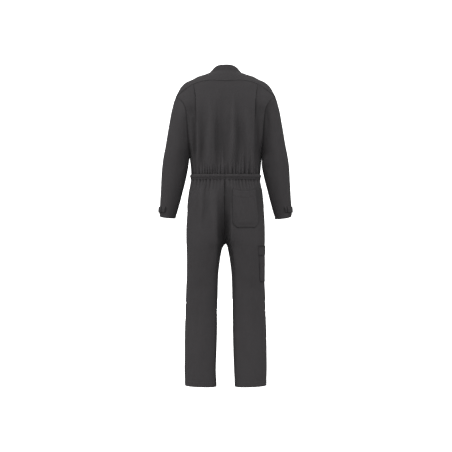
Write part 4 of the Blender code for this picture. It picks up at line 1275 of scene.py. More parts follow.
for side, word in SIDES:
    base = cuff_tab_grid(side, 80 + side)
    tab = stitched_edges(base, dict.fromkeys(TAB_EDGES, 83), lift=0.35, width=3.4, rows=TAB_STITCH)
    turns = np.linspace(*CUFF_TAB_ANGLES[side], CUFF_TAB_COLUMNS + 1)
    # The strap is worn pale along its top and foot, and painted darker, as shade, beside its foot and its
    # back end and in the crack of its pleat.
    painted_light_and_wear = rub(tab, ("top", "low"), 2) + 1.5 * painted_border_shade(tab, ("low", "start"), 2.4)
    painted_light_and_wear -= TAB_PLEAT_SHADE * hill(turns - TAB_PLEAT[side], 3.4)
    strap = cloth_piece(f"cuff_strap_{word}", tab, TWILL, mirror=side < 0, wall=TAB_WALL, rubbed=painted_light_and_wear)
    runs = lines_beside(base, TAB_EDGES, TAB_STITCH)
    stitches = sew(f"cuff_strap_stitches_{word}", on_side(runs, side), pitch=2.6, length=2.0)
    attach(strap, "root")
    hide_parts(f"cuff_tab_{word}")


# ============ the trousers
# Four panels that hang from the waistband. The backs are gathered into it and fuller over the seat,
# the fronts are plain. Centre back, inseams and outseams are felled, and the hems turned up twice.

# One leg with its half of the seat. Above the crotch, inner lies past the middle of the garment,
# and the panel ends at the middle. Below it, inner is the inseam.
LEG = table("z outer inner back front middle_y", [
    (-541, 172.5, -172.5, 115, 115, 0),
    (-580, 178, -178, 124, 114, 0),
    (-640, 185.5, -184, 131, 113, 0),
    (-700, 190.5, -168, 131, 111, 0),
    (-745, 193.5, -125, 128, 108, 0),
    (-790, 195.5, -74, 122, 104, 0),
    (-820, 195.5, -40, 117, 101, 0),
    (-840, 195.5, -18, 113, 99, 0),
    (-852, 195.3, -5, 110, 98, 0),
    (-858, 194.8, 0.4, 109, 97, 0),
    (-865, 194.5, 7, 107, 96, 0),
    (-880, 194, 13.5, 105, 95, -1),
    (-910, 193.5, 20, 102, 93, -2),
    (-940, 193, 25, 100, 92, -3),
    (-1015, 193, 33, 96, 88, -6),
    (-1090, 196, 36, 91, 85, -8),
    (-1195, 200, 38, 86, 82, -8),
    (-1315, 203, 40, 83, 79, -3),
    (-1465, 204, 44.5, 80, 77, 5),
    (-1563, 202, 46.5, 78, 76, 8),
])
LEG_POWER = 2.2
# How far the seat sinks in at its centre seam, and below the crotch each thigh beside its inseam.
CLEFT = table("z depth", [
    (-541, 0), (-580, 1), (-612, 5), (-660, 12), (-715, 21), (-765, 29), (-805, 34), (-832, 32),
    (-848, 26), (-857, 20), (-866, 17), (-884, 15), (-920, 12), (-985, 7), (-1090, 3), (-1195, 0),
    (-1562, 0),
])
CLEFT_POWER = 0.72        # below 1, so that it begins at a sharp edge
CLEFT_LEFT = 44.0         # the sunk part begins this far left and right of the middle
CLEFT_RIGHT = 27.0
CLEFT_THIGH = 18.0        # and on the thighs at least this far from the inseam
# The cloth hangs straight down from the seat, this far off the thigh.
SEAT_HANG = table("z depth", [
    (-541, 0), (-745, 0), (-790, 1.5), (-820, 3.6), (-840, 5.6), (-858, 7.8), (-880, 9.2), (-910, 9.0),
    (-940, 7.6), (-1015, 3.2), (-1090, 0), (-1563, 0),
])
SEAT_SEAM_SHIFT = 4.5     # the centre seam of the seat is pulled this far to the left
INSEAM_SHIFT = 3.5        # both inseams lie this much further to the left
HEM_TILT = 3.0            # the hems of the legs are this much lower at the inseam
SEAT_TOP = (-560.0, -600.0)         # the painted shades of the seat set in between these heights
CROTCH_Z = -856.0
LEG_LOW_Z = -1563.0
LEG_HEM = 26.0
HEM_LINES = np.array([0, 0.8, 2, 5, 10, 16, 22, 23.4, 24.2, 25.0, 25.8, 26.6, 28, 32])     # rows up from it
LEG_ROWS = 190
LEG_COLUMNS = 62
LEG_WIDTH = 235.0         # of one panel

# Gathers below the waistband, down the seat.
SEAT_GATHERS = table("x length height", [
    (168, 67, 4.7), (150, 76, 6.8), (131, 104, 11.5), (114, 64, 8.1), (101, 76, 8.8), (84, 118, 12.8),
    (63, 101, 11.5), (47, 59, 6.8), (32, 87, 10.1), (16, 64, 6.8), (-15, 67, 6.8), (-30, 87, 8.8),
    (-47, 62, 7.4), (-60, 70, 8.8), (-73, 87, 11.5), (-89, 70, 9.5), (-108, 84, 11.5), (-119, 62, 8.1),
    (-131, 81, 10.8), (-149, 67, 7.4), (-166, 62, 4.7),
])
SEAT_NIP_SLANT = 0.1      # the gathers fan out a little on their way down
SEAT_SEAM_PULL = 4.0      # the centre seam is drawn in this far under the waistband

SEAT_FOLD_SIZE = 1.4
# Long folds behind, from both ends: the seat hangs between them in soft panels.
SEAT_FOLDS = table("x_top z_top x_low z_low height left right", [
    (118, -552, 126, -740, 3.0, 10, 10),
    (95, -552, 105, -800, -4.0, 9, 12),
    (72, -552, 64, -750, 3.2, 12, 11),
    (52, -600, 50, -930, 3.6, 14, 5),
    (-31, -590, -31, -930, 2.6, 4, 8),
    (140, -600, 142, -800, -1.4, 12, 12),
    (150, -560, 158, -760, 1.0, 14, 10),
    (-172, -590, -174, -800, 1.0, 10, 12),
    (90, -840, 96, -1250, 0.9, 22, 18),
    (-98, -860, -104, -1300, 0.8, 20, 22),
    (150, -980, 146, -1400, -0.8, 18, 22),
    (-152, -1060, -150, -1440, -0.7, 20, 18),
    (62, -1080, 66, -1220, -0.7, 14, 16),
    (-64, -1110, -70, -1260, -0.6, 16, 14),
])
# In front: drag lines from the crotch, a soft fold down each thigh, and a break at the knees.
LAP_FOLDS = table("x_top z_top x_low z_low height left right", [
    (30, -800, 96, -730, -1.6, 9, 9),
    (-28, -806, -92, -742, -1.5, 9, 9),
    (26, -838, 110, -812, 1.4, 8, 8),
    (-26, -834, -104, -804, 1.3, 8, 8),
    (112, -556, 116, -820, 1.4, 12, 16),
    (-108, -556, -118, -790, 1.5, 16, 12),
    (70, -552, 66, -690, -1.1, 10, 12),
    (-72, -552, -70, -720, -1.2, 12, 10),
    (110, -900, 112, -1240, 1.0, 20, 22),
    (-112, -920, -114, -1270, 1.1, 22, 20),
    (60, -1060, 150, -1120, -1.1, 10, 12),
    (-64, -1080, -150, -1136, -1.2, 10, 12),
    (70, -1150, 160, -1190, 0.8, 12, 12),
])
LEG_HEM_BREAK = 0.8
POCKET_MOUTH_Z = (-572.0, -700.0)     # the side pocket's mouth in each outseam
POCKET_MOUTH_GAPE = 2.2
BY_POCKET_SHADE = 0.38    # the right of the seat is painted darker, as shade, beyond the back pocket


def leg_span(z, side):
    """Outer and inner edge of a leg, both in the left leg's place."""
    shift = INSEAM_SHIFT * step(-850, -890, z) * step(-1562, -1480, z)
    return read(LEG, "outer", z), read(LEG, "inner", z) + side * shift


def leg_start(z, side):
    """The angle where a leg panel starts: at the middle of the seat, or at the inseam."""
    outer, inner = leg_span(z, side)
    share = np.clip((outer + inner) / (outer - inner), 0, 1)
    return np.arccos(share ** (LEG_POWER / 2))


def leg_point(angle, z, side):
    """A leg and its half of the seat: 0 is the inseam, 90 degrees the back, 180 the outseam."""
    outer, inner = leg_span(z, side)
    sine = np.sin(angle)
    depth = np.where(sine > 0, read(LEG, "back", z), read(LEG, "front", z))
    x = (outer + inner) / 2 - (outer - inner) / 2 * signed_power(np.cos(angle), 2 / LEG_POWER)
    y = read(LEG, "middle_y", z) + depth * signed_power(sine, 2 / LEG_POWER)
    return np.stack([x, y, z], axis=-1)


def leg_heights():
    """Heights of the rows of a leg panel: close together at the waist, the crotch and the hem."""
    top, low = WAIST_LOW_Z, LEG_LOW_Z
    near = np.concatenate([[0], SEAM_LINES])
    even = np.linspace(top - 12, low + 36, LEG_ROWS)
    return np.concatenate([top - near, even, low + HEM_LINES[::-1]])


def seat_cleft(x, z, angle):
    """How far the back of the trousers sinks in between the two halves of the seat."""
    inner = np.maximum(read(LEG, "inner", z), 0)
    edge = np.maximum(np.where(x > 0, CLEFT_LEFT, CLEFT_RIGHT), inner + CLEFT_THIGH)
    share = np.clip((edge - np.abs(x)) / (edge - inner), 0, 1)
    return read(CLEFT, "depth", z) * share**CLEFT_POWER * step(0, 0.6, angle)


def cleft_painted_shade(grid, side):
    """Minus a painted shade: how much darker the cloth is painted in the fold between the two halves of the
    seat.
    """
    x, z = grid[..., 0], grid[..., 2]
    inner = np.maximum(read(LEG, "inner", z), 0)
    edge = np.maximum(CLEFT_LEFT if side > 0 else CLEFT_RIGHT, inner + CLEFT_THIGH)
    edge = np.minimum(edge, 8 + 0.9 * np.maximum(-560 - z, 0))
    inside = np.clip((edge - x) / (edge - inner), 0, 1)
    flank = 0.2 + 0.2 * step(-600, -720, z) + (0.16 if side < 0 else 0.04)
    dark = flank * step(0, 0.12, inside) + 0.4 * inside * step(-640, -800, z)
    return -dark * step(*SEAT_TOP, z) * step(-1000, -880, z)


def seat_height(x, z):
    """Gathers, folds and swells of the trousers behind."""
    fan = x * (1 - SEAT_NIP_SLANT * step(0, 90, WAIST_LOW_Z - z))
    drawn_in = SEAT_SEAM_PULL * hill(x, 9) * step(WAIST_LOW_Z, -560, z) * step(-700, -640, z)
    return (gathers(SEAT_GATHERS, fan, WAIST_LOW_Z - z) + SEAT_FOLD_SIZE * creases(SEAT_FOLDS, x, z)
            - drawn_in + drape(x, z, 91, 0.4) * step(-560, -620, z))


def leg_grid(side, front):
    """A leg panel in the left-hand place, from the centre or inseam to the outseam."""
    shares = seam_spaced(LEG_COLUMNS, LEG_WIDTH)
    rows = []
    for row_z in leg_heights():
        z = np.full(len(shares), row_z)
        start = leg_start(z, side)
        angle = (start + (np.pi - start) * shares) * (-1 if front else 1)
        x = leg_point(angle, z, side)[..., 0] * side
        if front:
            height = creases(LAP_FOLDS, x, z) + drape(x, z, 95, 0.5) * step(-545, -600, z)
        else:
            height = seat_height(x, z) + read(SEAT_HANG, "depth", z) * np.sin(angle) ** 2
        from_hem = z - LEG_LOW_Z
        height = height * (1 - 0.6 * step(LEG_HEM + 30, LEG_HEM, from_hem))
        height = height + 0.5 * step(LEG_HEM + 0.8, LEG_HEM - 0.8, from_hem)
        height = height + LEG_HEM_BREAK * waver(x, 97, 120) * step(90, 0, from_hem)
        row = raised(leg_point, angle, z, height, side)
        if not front:
            row[:, 1] -= seat_cleft(x, z, angle)
            row[:, 0] += side * SEAT_SEAM_SHIFT * (1 - shares) ** 2 * step(CROTCH_Z, -820, z)
        row[:, 2] -= HEM_TILT * np.cos(angle) * step(-1400, LEG_LOW_Z, z)
        rows.append(row)
    return np.array(rows)


back_panels, front_panels = {}, {}
for side, word in SIDES:
    base = leg_grid(side, front=False)[:, ::-1]
    seam_z = base[:, -1, 2]
    crotch = int(np.argmin(np.abs(seam_z - CROTCH_Z)))
    on_top = step(-852, -864, seam_z) if side < 0 else np.ones(len(base))     # the left half covers the right
    grid, hemmed = hem_finish(base, LEG_HEM, distances(base[-1:]), 101 + side, 21)
    grid = stitched_edge(grid, "start", 103 + side)
    grid = stitched_edge(grid, "end", 105 + side, weight=on_top)
    grid = tucked(tucked_unless(grid, "end", on_top), "top")
    hemmed = np.pad(hemmed, ((1, 0), (0, 1)), mode="edge")
    x, z = grid[..., 0], grid[..., 2]
    # Painted light on the seat: it is worn pale along its seams and hem, and painted darker, as shade, in the
    # creases of its seams, under the waistband, in the cleft, along the centre seam and beyond the back
    # pocket. Its gathers and folds are painted paler on top and darker in their troughs.
    painted_light_and_wear = rub(grid, ("start", "end", "low")) + painted_border_shade(grid, ("start", "end"))
    painted_light_and_wear += 0.4 * painted_border_shade(grid, ("top",), 3.0)
    painted_light_and_wear += relief_painted_light(seat_height(side * x, z), WAIST_LOW_Z - z) + cleft_painted_shade(grid, side)
    painted_light_and_wear += 0.7 * painted_border_shade(grid, ("end",), 3.4) * step(-880, -850, z)
    if side < 0:
        beyond_pocket = x - 147 + 0.085 * (z + 600)
        painted_light_and_wear -= BY_POCKET_SHADE * step(-3, 4, beyond_pocket) * step(*SEAT_TOP, z) * step(-775, -690, z)
    panel = cloth_piece(f"trouser_back_panel_{word}", grid, TWILL, mirror=side < 0, hemmed=hemmed,
                        rubbed=painted_light_and_wear)
    back_panels[side] = panel
    runs = lines_beside(base, ("start",))
    runs += [line_beside(base, "end", row, first=crotch if side < 0 else 0) for row in STITCH_ROWS]
    runs = lifted(runs) + [line_beside(base, "low", LEG_HEM - HEM_ROW)]
    stitches = sew(f"trouser_back_stitches_{word}", on_side(runs, side))
    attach(panel, "root")
    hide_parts(f"trouser_back_{word}")

for side, word in SIDES:
    base = leg_grid(side, front=True)
    z = base[:, -1, 2]
    mouth_top, mouth_low = POCKET_MOUTH_Z
    gape = step(mouth_low, mouth_low + 30, z) * step(mouth_top, mouth_top - 20, z)
    grid, hemmed = hem_finish(base, LEG_HEM, distances(base[-1:]), 111 + side, 21)
    bulge = POCKET_MOUTH_GAPE * gape[:, None] * hill(from_border(grid, "end"), 14)
    grid = grid + outward(grid) * bulge[..., None]
    grid = stitched_edge(grid, "end", 113 + side, weight=gape)
    grid = tucked(grid, "end", reach=0.4 + 2.6 * (1 - gape), depth=0.3 + 1.2 * (1 - gape))
    grid = tucked(tucked(grid, "start"), "top")
    hemmed = np.pad(hemmed, ((1, 0), (1, 1)), mode="edge")
    panel = cloth_piece(f"trouser_front_panel_{word}", grid, TWILL, mirror=side < 0, hemmed=hemmed,
                        rubbed=rub(grid, ("low",)))
    front_panels[side] = panel
    first, last = (int(np.argmin(np.abs(z - height))) for height in POCKET_MOUTH_Z)
    runs = [line_beside(base, "low", LEG_HEM - HEM_ROW)]
    for row in STITCH_ROWS:
        points, aim = line_beside(base, "end", row, first=first, last=last)
        runs.append((points + aim * (POCKET_MOUTH_GAPE * gape[first:last, None] + STITCH_LIFT), aim))
    stitches = sew(f"trouser_front_stitches_{word}", on_side(runs, side))
    ends = []
    for at in (first, last):
        points, aim = line_beside(base, "end", 4.0, first=at, last=at + 1)
        ends.append(bar_tack(points[0] + aim[0] * 0.9, np.array([0.3, 1.0, 0.0]), aim[0]))
    tacks = sew(f"pocket_mouth_tacks_{word}", on_side(ends, side), **BAR_TACK)
    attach(panel, "root")
    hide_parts(f"trouser_front_{word}")


# ============ the back pocket
# A patch pocket with cut corners on the right of the seat. Its top edge is hemmed and dips in the
# middle, and its sides and bottom are folded under and sewn on with two rows of stitches.

BACK_POCKET = table("z left right", [       # its two side edges, right of the middle
    (-590, -34, -146),
    (-600, -33.5, -147),
    (-628, -33, -149),
    (-660, -33.5, -152),
    (-700, -34.5, -156),
    (-740, -35.5, -159),
    (-752, -36.5, -159.5),
    (-763, -44, -152),
    (-774, -58, -140),
])
POCKET_SAG = 9.0          # how much the pocket's top edge dips in its middle
POCKET_COLUMNS = 60
POCKET_ROWS = 96
POCKET_WIDTH = 108.0      # at its top
POCKET_LENGTH = 190.0
POCKET_HEM = 30.0
POCKET_CORNER_Z = -750.0
POCKET_BORDER = 1.5       # its outer face stands this far off the seat along the stitches


def back_pocket_grid():
    """The patch pocket in its own place, from its top edge down, seen from outside."""
    heights = np.interp(seam_spaced(POCKET_ROWS, POCKET_LENGTH), [0, 1], BACK_POCKET["z"][[0, -1]])
    across = seam_spaced(POCKET_COLUMNS, POCKET_WIDTH)
    places, lefts, rights = (BACK_POCKET[name][::-1] for name in ("z", "left", "right"))
    rows = []
    for row_z in heights:
        left, right = np.interp(row_z, places, lefts), np.interp(row_z, places, rights)
        x = -(left + (right - left) * across)
        dip = step(-720, -590, np.array(row_z))
        z = row_z - POCKET_SAG * np.sin(np.pi * across) * dip + 0.8 * waver(x, 121, 60) * dip
        outer, inner = leg_span(z, -1)
        share = ((outer + inner) / 2 - x) / ((outer - inner) / 2)
        angle = np.arccos(signed_power(share, LEG_POWER / 2))
        down = (heights[0] - row_z) / (heights[0] - heights[-1])
        from_edge = np.minimum(np.minimum(across, 1 - across) * POCKET_WIDTH, (1 - down) * POCKET_LENGTH)
        full = step(0, 30, from_edge)
        trough = 1.2 * hill(x - 92 + 0.25 * (z + 700), 9)
        ridge = 1.0 * hill(x - 112 + 0.2 * (z + 690), 12)
        bulge = (2.6 * np.sin(np.pi * across) * step(-600, -740, np.array(row_z)) + 1.0
                 + 0.7 * waver(x + 0.4 * z, 122, 70) - trough + ridge) * full
        under = np.maximum(seat_height(-x, z), 0) * (1 - 0.5 * full)
        lip = 0.9 * (1 - step(0, 12, down * POCKET_LENGTH)) * np.sin(np.pi * across)
        rows.append(raised(leg_point, angle, z, POCKET_BORDER + bulge + under + lip, -1))
    return np.array(rows)[:, ::-1]


def painted_shade_round(panel, outline, reach, amount):
    """Painted shade on a panel in the angle round a patch that lies on it; outline is its border."""
    count = len(panel.data.vertices)
    points, painted_light_and_wear = np.empty(3 * count), np.empty(count)
    panel.data.vertices.foreach_get("co", points)
    panel.data.attributes["rubbed"].data.foreach_get("value", painted_light_and_wear)
    apart = points.reshape(-1, 1, 3) / MM - outline[None]
    away = np.sqrt((apart**2).sum(axis=-1).min(axis=1))
    painted_light_and_wear -= amount * hill(away, reach)
    panel.data.attributes["rubbed"].data.foreach_set("value", painted_light_and_wear)


def border_points(grid, borders):
    """The points along the named borders of a grid, in the right-hand place."""
    return np.concatenate([turned(grid, border)[:, 0] for border in borders]) * (-1, 1, 1)


SEWN_DOWN = ("start", "end", "low")     # the borders of a patch that are sewn to the cloth under it
pocket_base = back_pocket_grid()
pocket = stitched_edges(pocket_base, dict(zip(SEWN_DOWN, (123, 124, 125))), lift=0.5)
pocket = stitched_edge(pocket, "top", 126, lift=0.6, width=POCKET_HEM, rows=(POCKET_HEM - HEM_ROW,))
# The pocket is worn pale along its sewn borders. Its top edge is worn pale and painted paler still, as a
# highlight. Its sides and bottom are painted darker, as shade, and so is a thin line along the hem's
# stitches.
pocket_painted_light_and_wear = rub(pocket, SEWN_DOWN, 3.5) + 2 * rub(pocket, ("top",), 3.0)
pocket_painted_light_and_wear += 0.3 * painted_border_shade(pocket, ("start", "end"), 3.2) + 0.3 * painted_border_shade(pocket, ("low",), 2.0)
pocket_painted_light_and_wear -= 0.2 * hill(from_border(pocket_base, "top") - POCKET_HEM + 1, 2.2)
pocket_piece = cloth_piece("seat_pocket", pocket, TWILL, mirror=True, rubbed=pocket_painted_light_and_wear)
pocket_sides = border_points(pocket_base, ("start", "end"))
pocket_shades = (       # the lines of painted shade round it on the seat, how far they reach and how much
    (border_points(pocket_base, ("low",)), 5.0, 0.9),
    (border_points(pocket_base, ("top",)), 5.0, 0.5),
    (pocket_sides, 4.0, 0.4),
    (pocket_sides[pocket_sides[:, 2] < POCKET_CORNER_Z], 5.0, 0.5),
)
for outline, reach, amount in pocket_shades:
    painted_shade_round(back_panels[-1], outline, reach, amount)
pocket_runs = lines_beside(pocket_base, SEWN_DOWN) + [line_beside(pocket_base, "top", POCKET_HEM - HEM_ROW)]
pocket_stitches = sew("seat_pocket_stitches", on_side(lifted(pocket_runs, 0.35), -1))
tack_points, tack_aims = pocket_base[3] * (-1, 1, 1), outward(pocket_base)[3] * (-1, 1, 1)
pocket_ends = [bar_tack(tack_points[column] + tack_aims[column] * 0.7, np.array([0.0, 0, 1.0]),
                        tack_aims[column]) for column in (4, -5)]
pocket_tacks = sew("seat_pocket_tacks", pocket_ends, **BAR_TACK)

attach(pocket_piece, "root")
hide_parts("back_pocket")


# ============ the thigh pocket and its flap
# A patch pocket low on the outer side of the right thigh, sewn down at its sides and bottom, and a
# flap of two layers sewn above it along its top edge, which covers the pocket's mouth.

THIGH_POCKET_Z = (-915.0, -1044.0)
THIGH_FLAP_Z = (-869.0, -914.5)
THIGH_POCKET_ANGLES = (126.5, 204.0)    # from the back edge round the outer leg to the front edge
THIGH_FLAP_ANGLES = (125.0, 205.5)
THIGH_SLANT = 0.056       # degrees that the pocket turns forward for each millimetre on its way down
THIGH_WIDTH = 154.0
THIGH_COLUMNS = 64
THIGH_CORNER = 4.0
FLAP_WALL = 1.9


def thigh_grid(heights, angles, count, base_lift, fullness):
    """A patch round the outer side of the right leg, in the left leg's place."""
    high = heights[0] - heights[1]
    across = seam_spaced(THIGH_COLUMNS, THIGH_WIDTH)
    from_side = np.minimum(across, 1 - across) * THIGH_WIDTH
    short = np.clip(1 - from_side / THIGH_CORNER, 0, 1)
    cut = THIGH_CORNER * (1 - np.sqrt(1 - np.minimum(short, 0.999) ** 2))
    rows = []
    for share in seam_spaced(count, high):
        z = heights[0] - (high - cut) * share
        turn = THIGH_SLANT * np.maximum(0.0, THIGH_POCKET_Z[0] - z)
        angle = np.radians(angles[0] + (angles[1] - angles[0]) * across + turn)
        full = fullness * np.sin(np.pi * across) ** 0.5 * np.sin(np.pi * min(share, 0.93) ** 0.8) ** 0.5
        wavy = 0.5 * waver(across * THIGH_WIDTH + 0.3 * z, 131, 52) * step(0, 20, from_side)
        rows.append(raised(leg_point, angle, z, base_lift + full + wavy, -1))
    return np.array(rows)


thigh_parts = (
    ("thigh_patch", "thigh_pocket", thigh_grid(THIGH_POCKET_Z, THIGH_POCKET_ANGLES, 64, 1.6, 1.8),
     SEWN_DOWN, CLOTH_WALL, (0.156, 0.135), "draped"),
    ("thigh_cover", "thigh_flap", thigh_grid(THIGH_FLAP_Z, THIGH_FLAP_ANGLES, 30, 2.5, 1.6),
     (*SEWN_DOWN, "top"), FLAP_WALL, (0.160, 0.05), "folded"),
)
for name, node, grid, borders, wall, cut, held in thigh_parts:
    base = grid[:, ::-1]
    patch = stitched_edges(base, dict.fromkeys(borders, 132), lift=0.4)
    # Each patch is worn pale along its sewn borders and painted darker there, as shade, and the panels under
    # it are painted darker round it.
    piece = cloth_piece(name, patch, TWILL, mirror=True, wall=wall,
                        rubbed=rub(patch, borders, 3) + 1.7 * painted_border_shade(patch, borders, 2.4))
    for panel in (back_panels[-1], front_panels[-1]):
        painted_shade_round(panel, border_points(base, borders), 4.0, 1.3)
    stitches = sew(f"{name}_stitches", on_side(lifted(lines_beside(base, borders), 0.3), -1))
    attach(piece, "root")
    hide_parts(node)


# ============ the waistband
# An elastic tunnel of two channels behind, which gathers the back above it and the seat below it,
# and a flat band in front. It lies over the edges of all the panels that it joins.

WAIST_BULGE_BACK = 4.2
WAIST_BULGE_FRONT = 1.2
CHANNEL_SEAM = 0.64       # share of the tunnel's height at which it is stitched into two channels
CHANNEL_ROW = 18.5        # the same as a distance from its top edge
CHANNEL_SHADE = 0.3       # the lower channel is painted darker, as shade under the upper one
WAIST_ROWS = 34
WAIST_COLUMNS = 250
WAIST_FRONT_COLUMNS = 80
BAND_STITCH = (1.8,)


def waist_grid(angles, bulge, elastic):
    """A stretch of the waistband between two angles; its elastic rounds and crimps it."""
    rows = []
    for share in seam_spaced(WAIST_ROWS, WAIST_TOP_Z - WAIST_LOW_Z):
        z = np.full_like(angles, WAIST_TOP_Z + (WAIST_LOW_Z - WAIST_TOP_Z) * share)
        x = body_point(angles, z)[..., 0]
        round_out = math.sin(math.pi * share) ** 0.5
        if elastic:
            in_lower = max(0.0, (share - CHANNEL_SEAM) / (1 - CHANNEL_SEAM))
            upper, lower = (max(0.0, math.sin(math.pi * t)) ** 0.7
                            for t in (min(share / CHANNEL_SEAM, 1), min(in_lower, 1)))
            height = bulge * upper + 0.6 * lower + 1.2 * round_out
            crimp_above = gathers(BACK_GATHERS, x, 8 + 60 * share + 0 * x)
            crimp_below = gathers(SEAT_GATHERS, x, 6 + 40 * (1 - share) + 0 * x)
            crimp = 0.3 * crimp_above * (1 - share) + 0.3 * crimp_below * share
            fine = 0.35 * waver(x, 141, 13) * (upper + lower) + 0.25 * waver(x + 6 * share, 142, 7)
            nip = 3.0 * hill(x - SEAT_SEAM_SHIFT, 2.4)
            height = height + crimp + fine - nip
        else:
            height = bulge * round_out + 1.0 + 0.3 * waver(x, 143, 26) + 0 * x
        rows.append(raised(body_point, angles, z, height))
    return np.array(rows)


def sewn_band(name, node, base, side, seed, channel):
    """A stretch of the band with its stitches; channel adds the row between its two channels."""
    band = stitched_edges(base, {"top": seed, "low": seed + 1}, lift=0.3, width=3.4, rows=BAND_STITCH)
    painted_light_and_wear = rub(band, ("top", "low"), 2.5)
    runs = lines_beside(base, ("top", "low"), BAND_STITCH)
    if channel:
        # The lower channel is painted darker, as shade.
        painted_light_and_wear -= CHANNEL_SHADE * step(channel - 1.5, channel + 1.5, from_border(band, "top"))
        runs.append(line_beside(base, "top", channel))
    piece = cloth_piece(name, band, TWILL, mirror=side < 0, rubbed=painted_light_and_wear)
    stitches = sew(f"{name}_stitches", on_side(lifted(runs, 0.1), side), pitch=2.7, length=2.1)
    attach(piece, "root")
    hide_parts(node)


behind = np.linspace(np.pi / 2, -np.pi / 2, WAIST_COLUMNS + 1)
sewn_band("elastic_tunnel", "waistband_back", waist_grid(behind, WAIST_BULGE_BACK, True), 1,
          144, CHANNEL_ROW)
in_front = np.linspace(np.pi, np.pi / 2, WAIST_FRONT_COLUMNS + 1)
for side, word in SIDES:
    base = waist_grid(in_front, WAIST_BULGE_FRONT, False)
    sewn_band(f"front_band_{word}", f"waistband_front_{word}", base, side, 146 + side, 0)


# ============ the front opening
# A covering strip over the opening, from under the collar down to the lap, edge-stitched along its
# sides and its foot. It stays closed with eight press studs of lacquered metal, turned as low caps.

FLY_HALF_WIDTH = 26.0
FLY_TOP_Z = -80.0
FLY_LOW_Z = -742.0
FLY_LENGTH = 660.0        # about, for the rows beside its two ends
FLY_LIFT = 2.9
FLY_WALL = 2.0
FLY_COLUMNS = 26
FLY_ROWS = 250
STUD_RADIUS = 7.5
STUD_HEIGHTS = (-100.0, -192.0, -284.0, -376.0, -468.0, -576.0, -644.0, -712.0)
STUD_SIDES = 40
STUD_LIFT = 0.45          # of a cap's rim off the strip
METAL = (0.12, 0.12, 0.125)


def front_surface(x, z):
    """The middle of the front, over fronts, waistband and trousers, out to a small x."""
    upper = body_point(body_angle(x, z, front=True), z)[..., 1]
    lower = -read(LEG, "front", z) + 0.5
    share = step(-530, -550, z)
    band = step(-500, WAIST_TOP_Z, z) * step(-555, WAIST_LOW_Z, z)
    return upper + (lower - upper) * share - WAIST_BULGE_FRONT * band


def fly_grid():
    """The covering strip, seen from the front: it dips a little at each stud and swells between."""
    rows = []
    across = seam_spaced(FLY_COLUMNS, 2 * FLY_HALF_WIDTH) * 2 - 1
    for row_z in np.interp(seam_spaced(FLY_ROWS, FLY_LENGTH), [0, 1], [FLY_TOP_Z, FLY_LOW_Z]):
        z = np.full_like(across, row_z)
        x = FLY_HALF_WIDTH * across
        away = min(abs(row_z - stud) for stud in STUD_HEIGHTS)
        pressed = hill(away, 22) * hill(x, 12)
        swell = 0.9 * np.sin(np.pi * (across + 1) / 2) * (1 - hill(away, 30))
        lift = FLY_LIFT + swell - 0.5 * pressed + 0.3 * waver(z + 0.5 * x, 151, 44)
        y = front_surface(np.abs(x), z) - lift
        rows.append(np.stack([x, y, z], axis=-1))
    return np.array(rows)


fly_base = fly_grid()
fly = stitched_edges(fly_base, {"start": 152, "end": 153, "low": 154, "top": 155}, lift=0.35)
fly_piece = cloth_piece("covering_strip", fly, TWILL, wall=FLY_WALL, rubbed=rub(fly, SEWN_DOWN, 3))
fly_stitches = sew("covering_strip_stitches", lifted(lines_beside(fly_base, SEWN_DOWN), 0.3))
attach(fly_piece, "root")
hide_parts("fly")


def turned_cap(name):
    """One cap, turned round +Z: a low dome with a rolled rim and a shallow ring near its edge."""
    turns = [2 * math.pi * i / STUD_SIDES for i in range(STUD_SIDES)]
    profile = [(0.0, 1.55), (1.6, 1.52), (3.2, 1.36), (4.4, 1.12), (4.9, 0.9), (5.2, 0.98), (5.8, 1.06),
               (6.6, 0.96), (7.2, 0.62), (STUD_RADIUS, 0.2), (7.35, -0.35), (6.6, -0.75), (0.0, -0.8)]
    data = bmesh.new()
    rings = []
    for radius, height in profile:
        if radius == 0:
            rings.append([data.verts.new((0, 0, height * MM))])
            continue
        rings.append([data.verts.new((radius * MM * math.cos(t), radius * MM * math.sin(t), height * MM))
                      for t in turns])
    for upper, lower in zip(rings, rings[1:]):
        for i in range(STUD_SIDES):
            j = (i + 1) % STUD_SIDES
            if len(upper) == 1:
                data.faces.new((upper[0], lower[i], lower[j]))
            elif len(lower) == 1:
                data.faces.new((upper[j], upper[i], lower[0]))
            else:
                data.faces.new((upper[i], lower[i], lower[j], upper[j]))
    mesh = bpy.data.meshes.new(name)
    data.to_mesh(mesh)
    data.free()
    return new_object(name, mesh)


def setting_tree():
    """Geometry nodes that set one cap at each point, standing on the cloth."""
    tree, given = new_tree("setting", "Studs", Places="Geometry", Cap="Object", Metal="Material")
    cap = tree.nodes.new("GeometryNodeObjectInfo")
    tree.links.new(given.outputs["Cap"], cap.inputs["Object"])
    set_upright(tree, given.outputs["Places"], cap.outputs["Geometry"], given.outputs["Metal"])
    return tree


stud_points, stud_aims = [], []
for z in STUD_HEIGHTS:
    slope = front_surface(np.array([0.0, 0.0]), np.array([z + 5, z - 5]))
    aim = np.array([0, -10.0, slope[0] - slope[1]])
    stud_aims.append(aim / np.linalg.norm(aim))
    stud_points.append([0, slope.mean() - FLY_LIFT - STUD_LIFT, z])
stud_data = bpy.data.meshes.new("press_studs")
stud_data.from_pydata((np.array(stud_points) * MM).tolist(), [], [])
stud_aim = stud_data.attributes.new("outward", "FLOAT_VECTOR", "POINT")
stud_aim.data.foreach_set("vector", np.array(stud_aims, np.float32).ravel())
cap_pattern = turned_cap("cap_pattern")
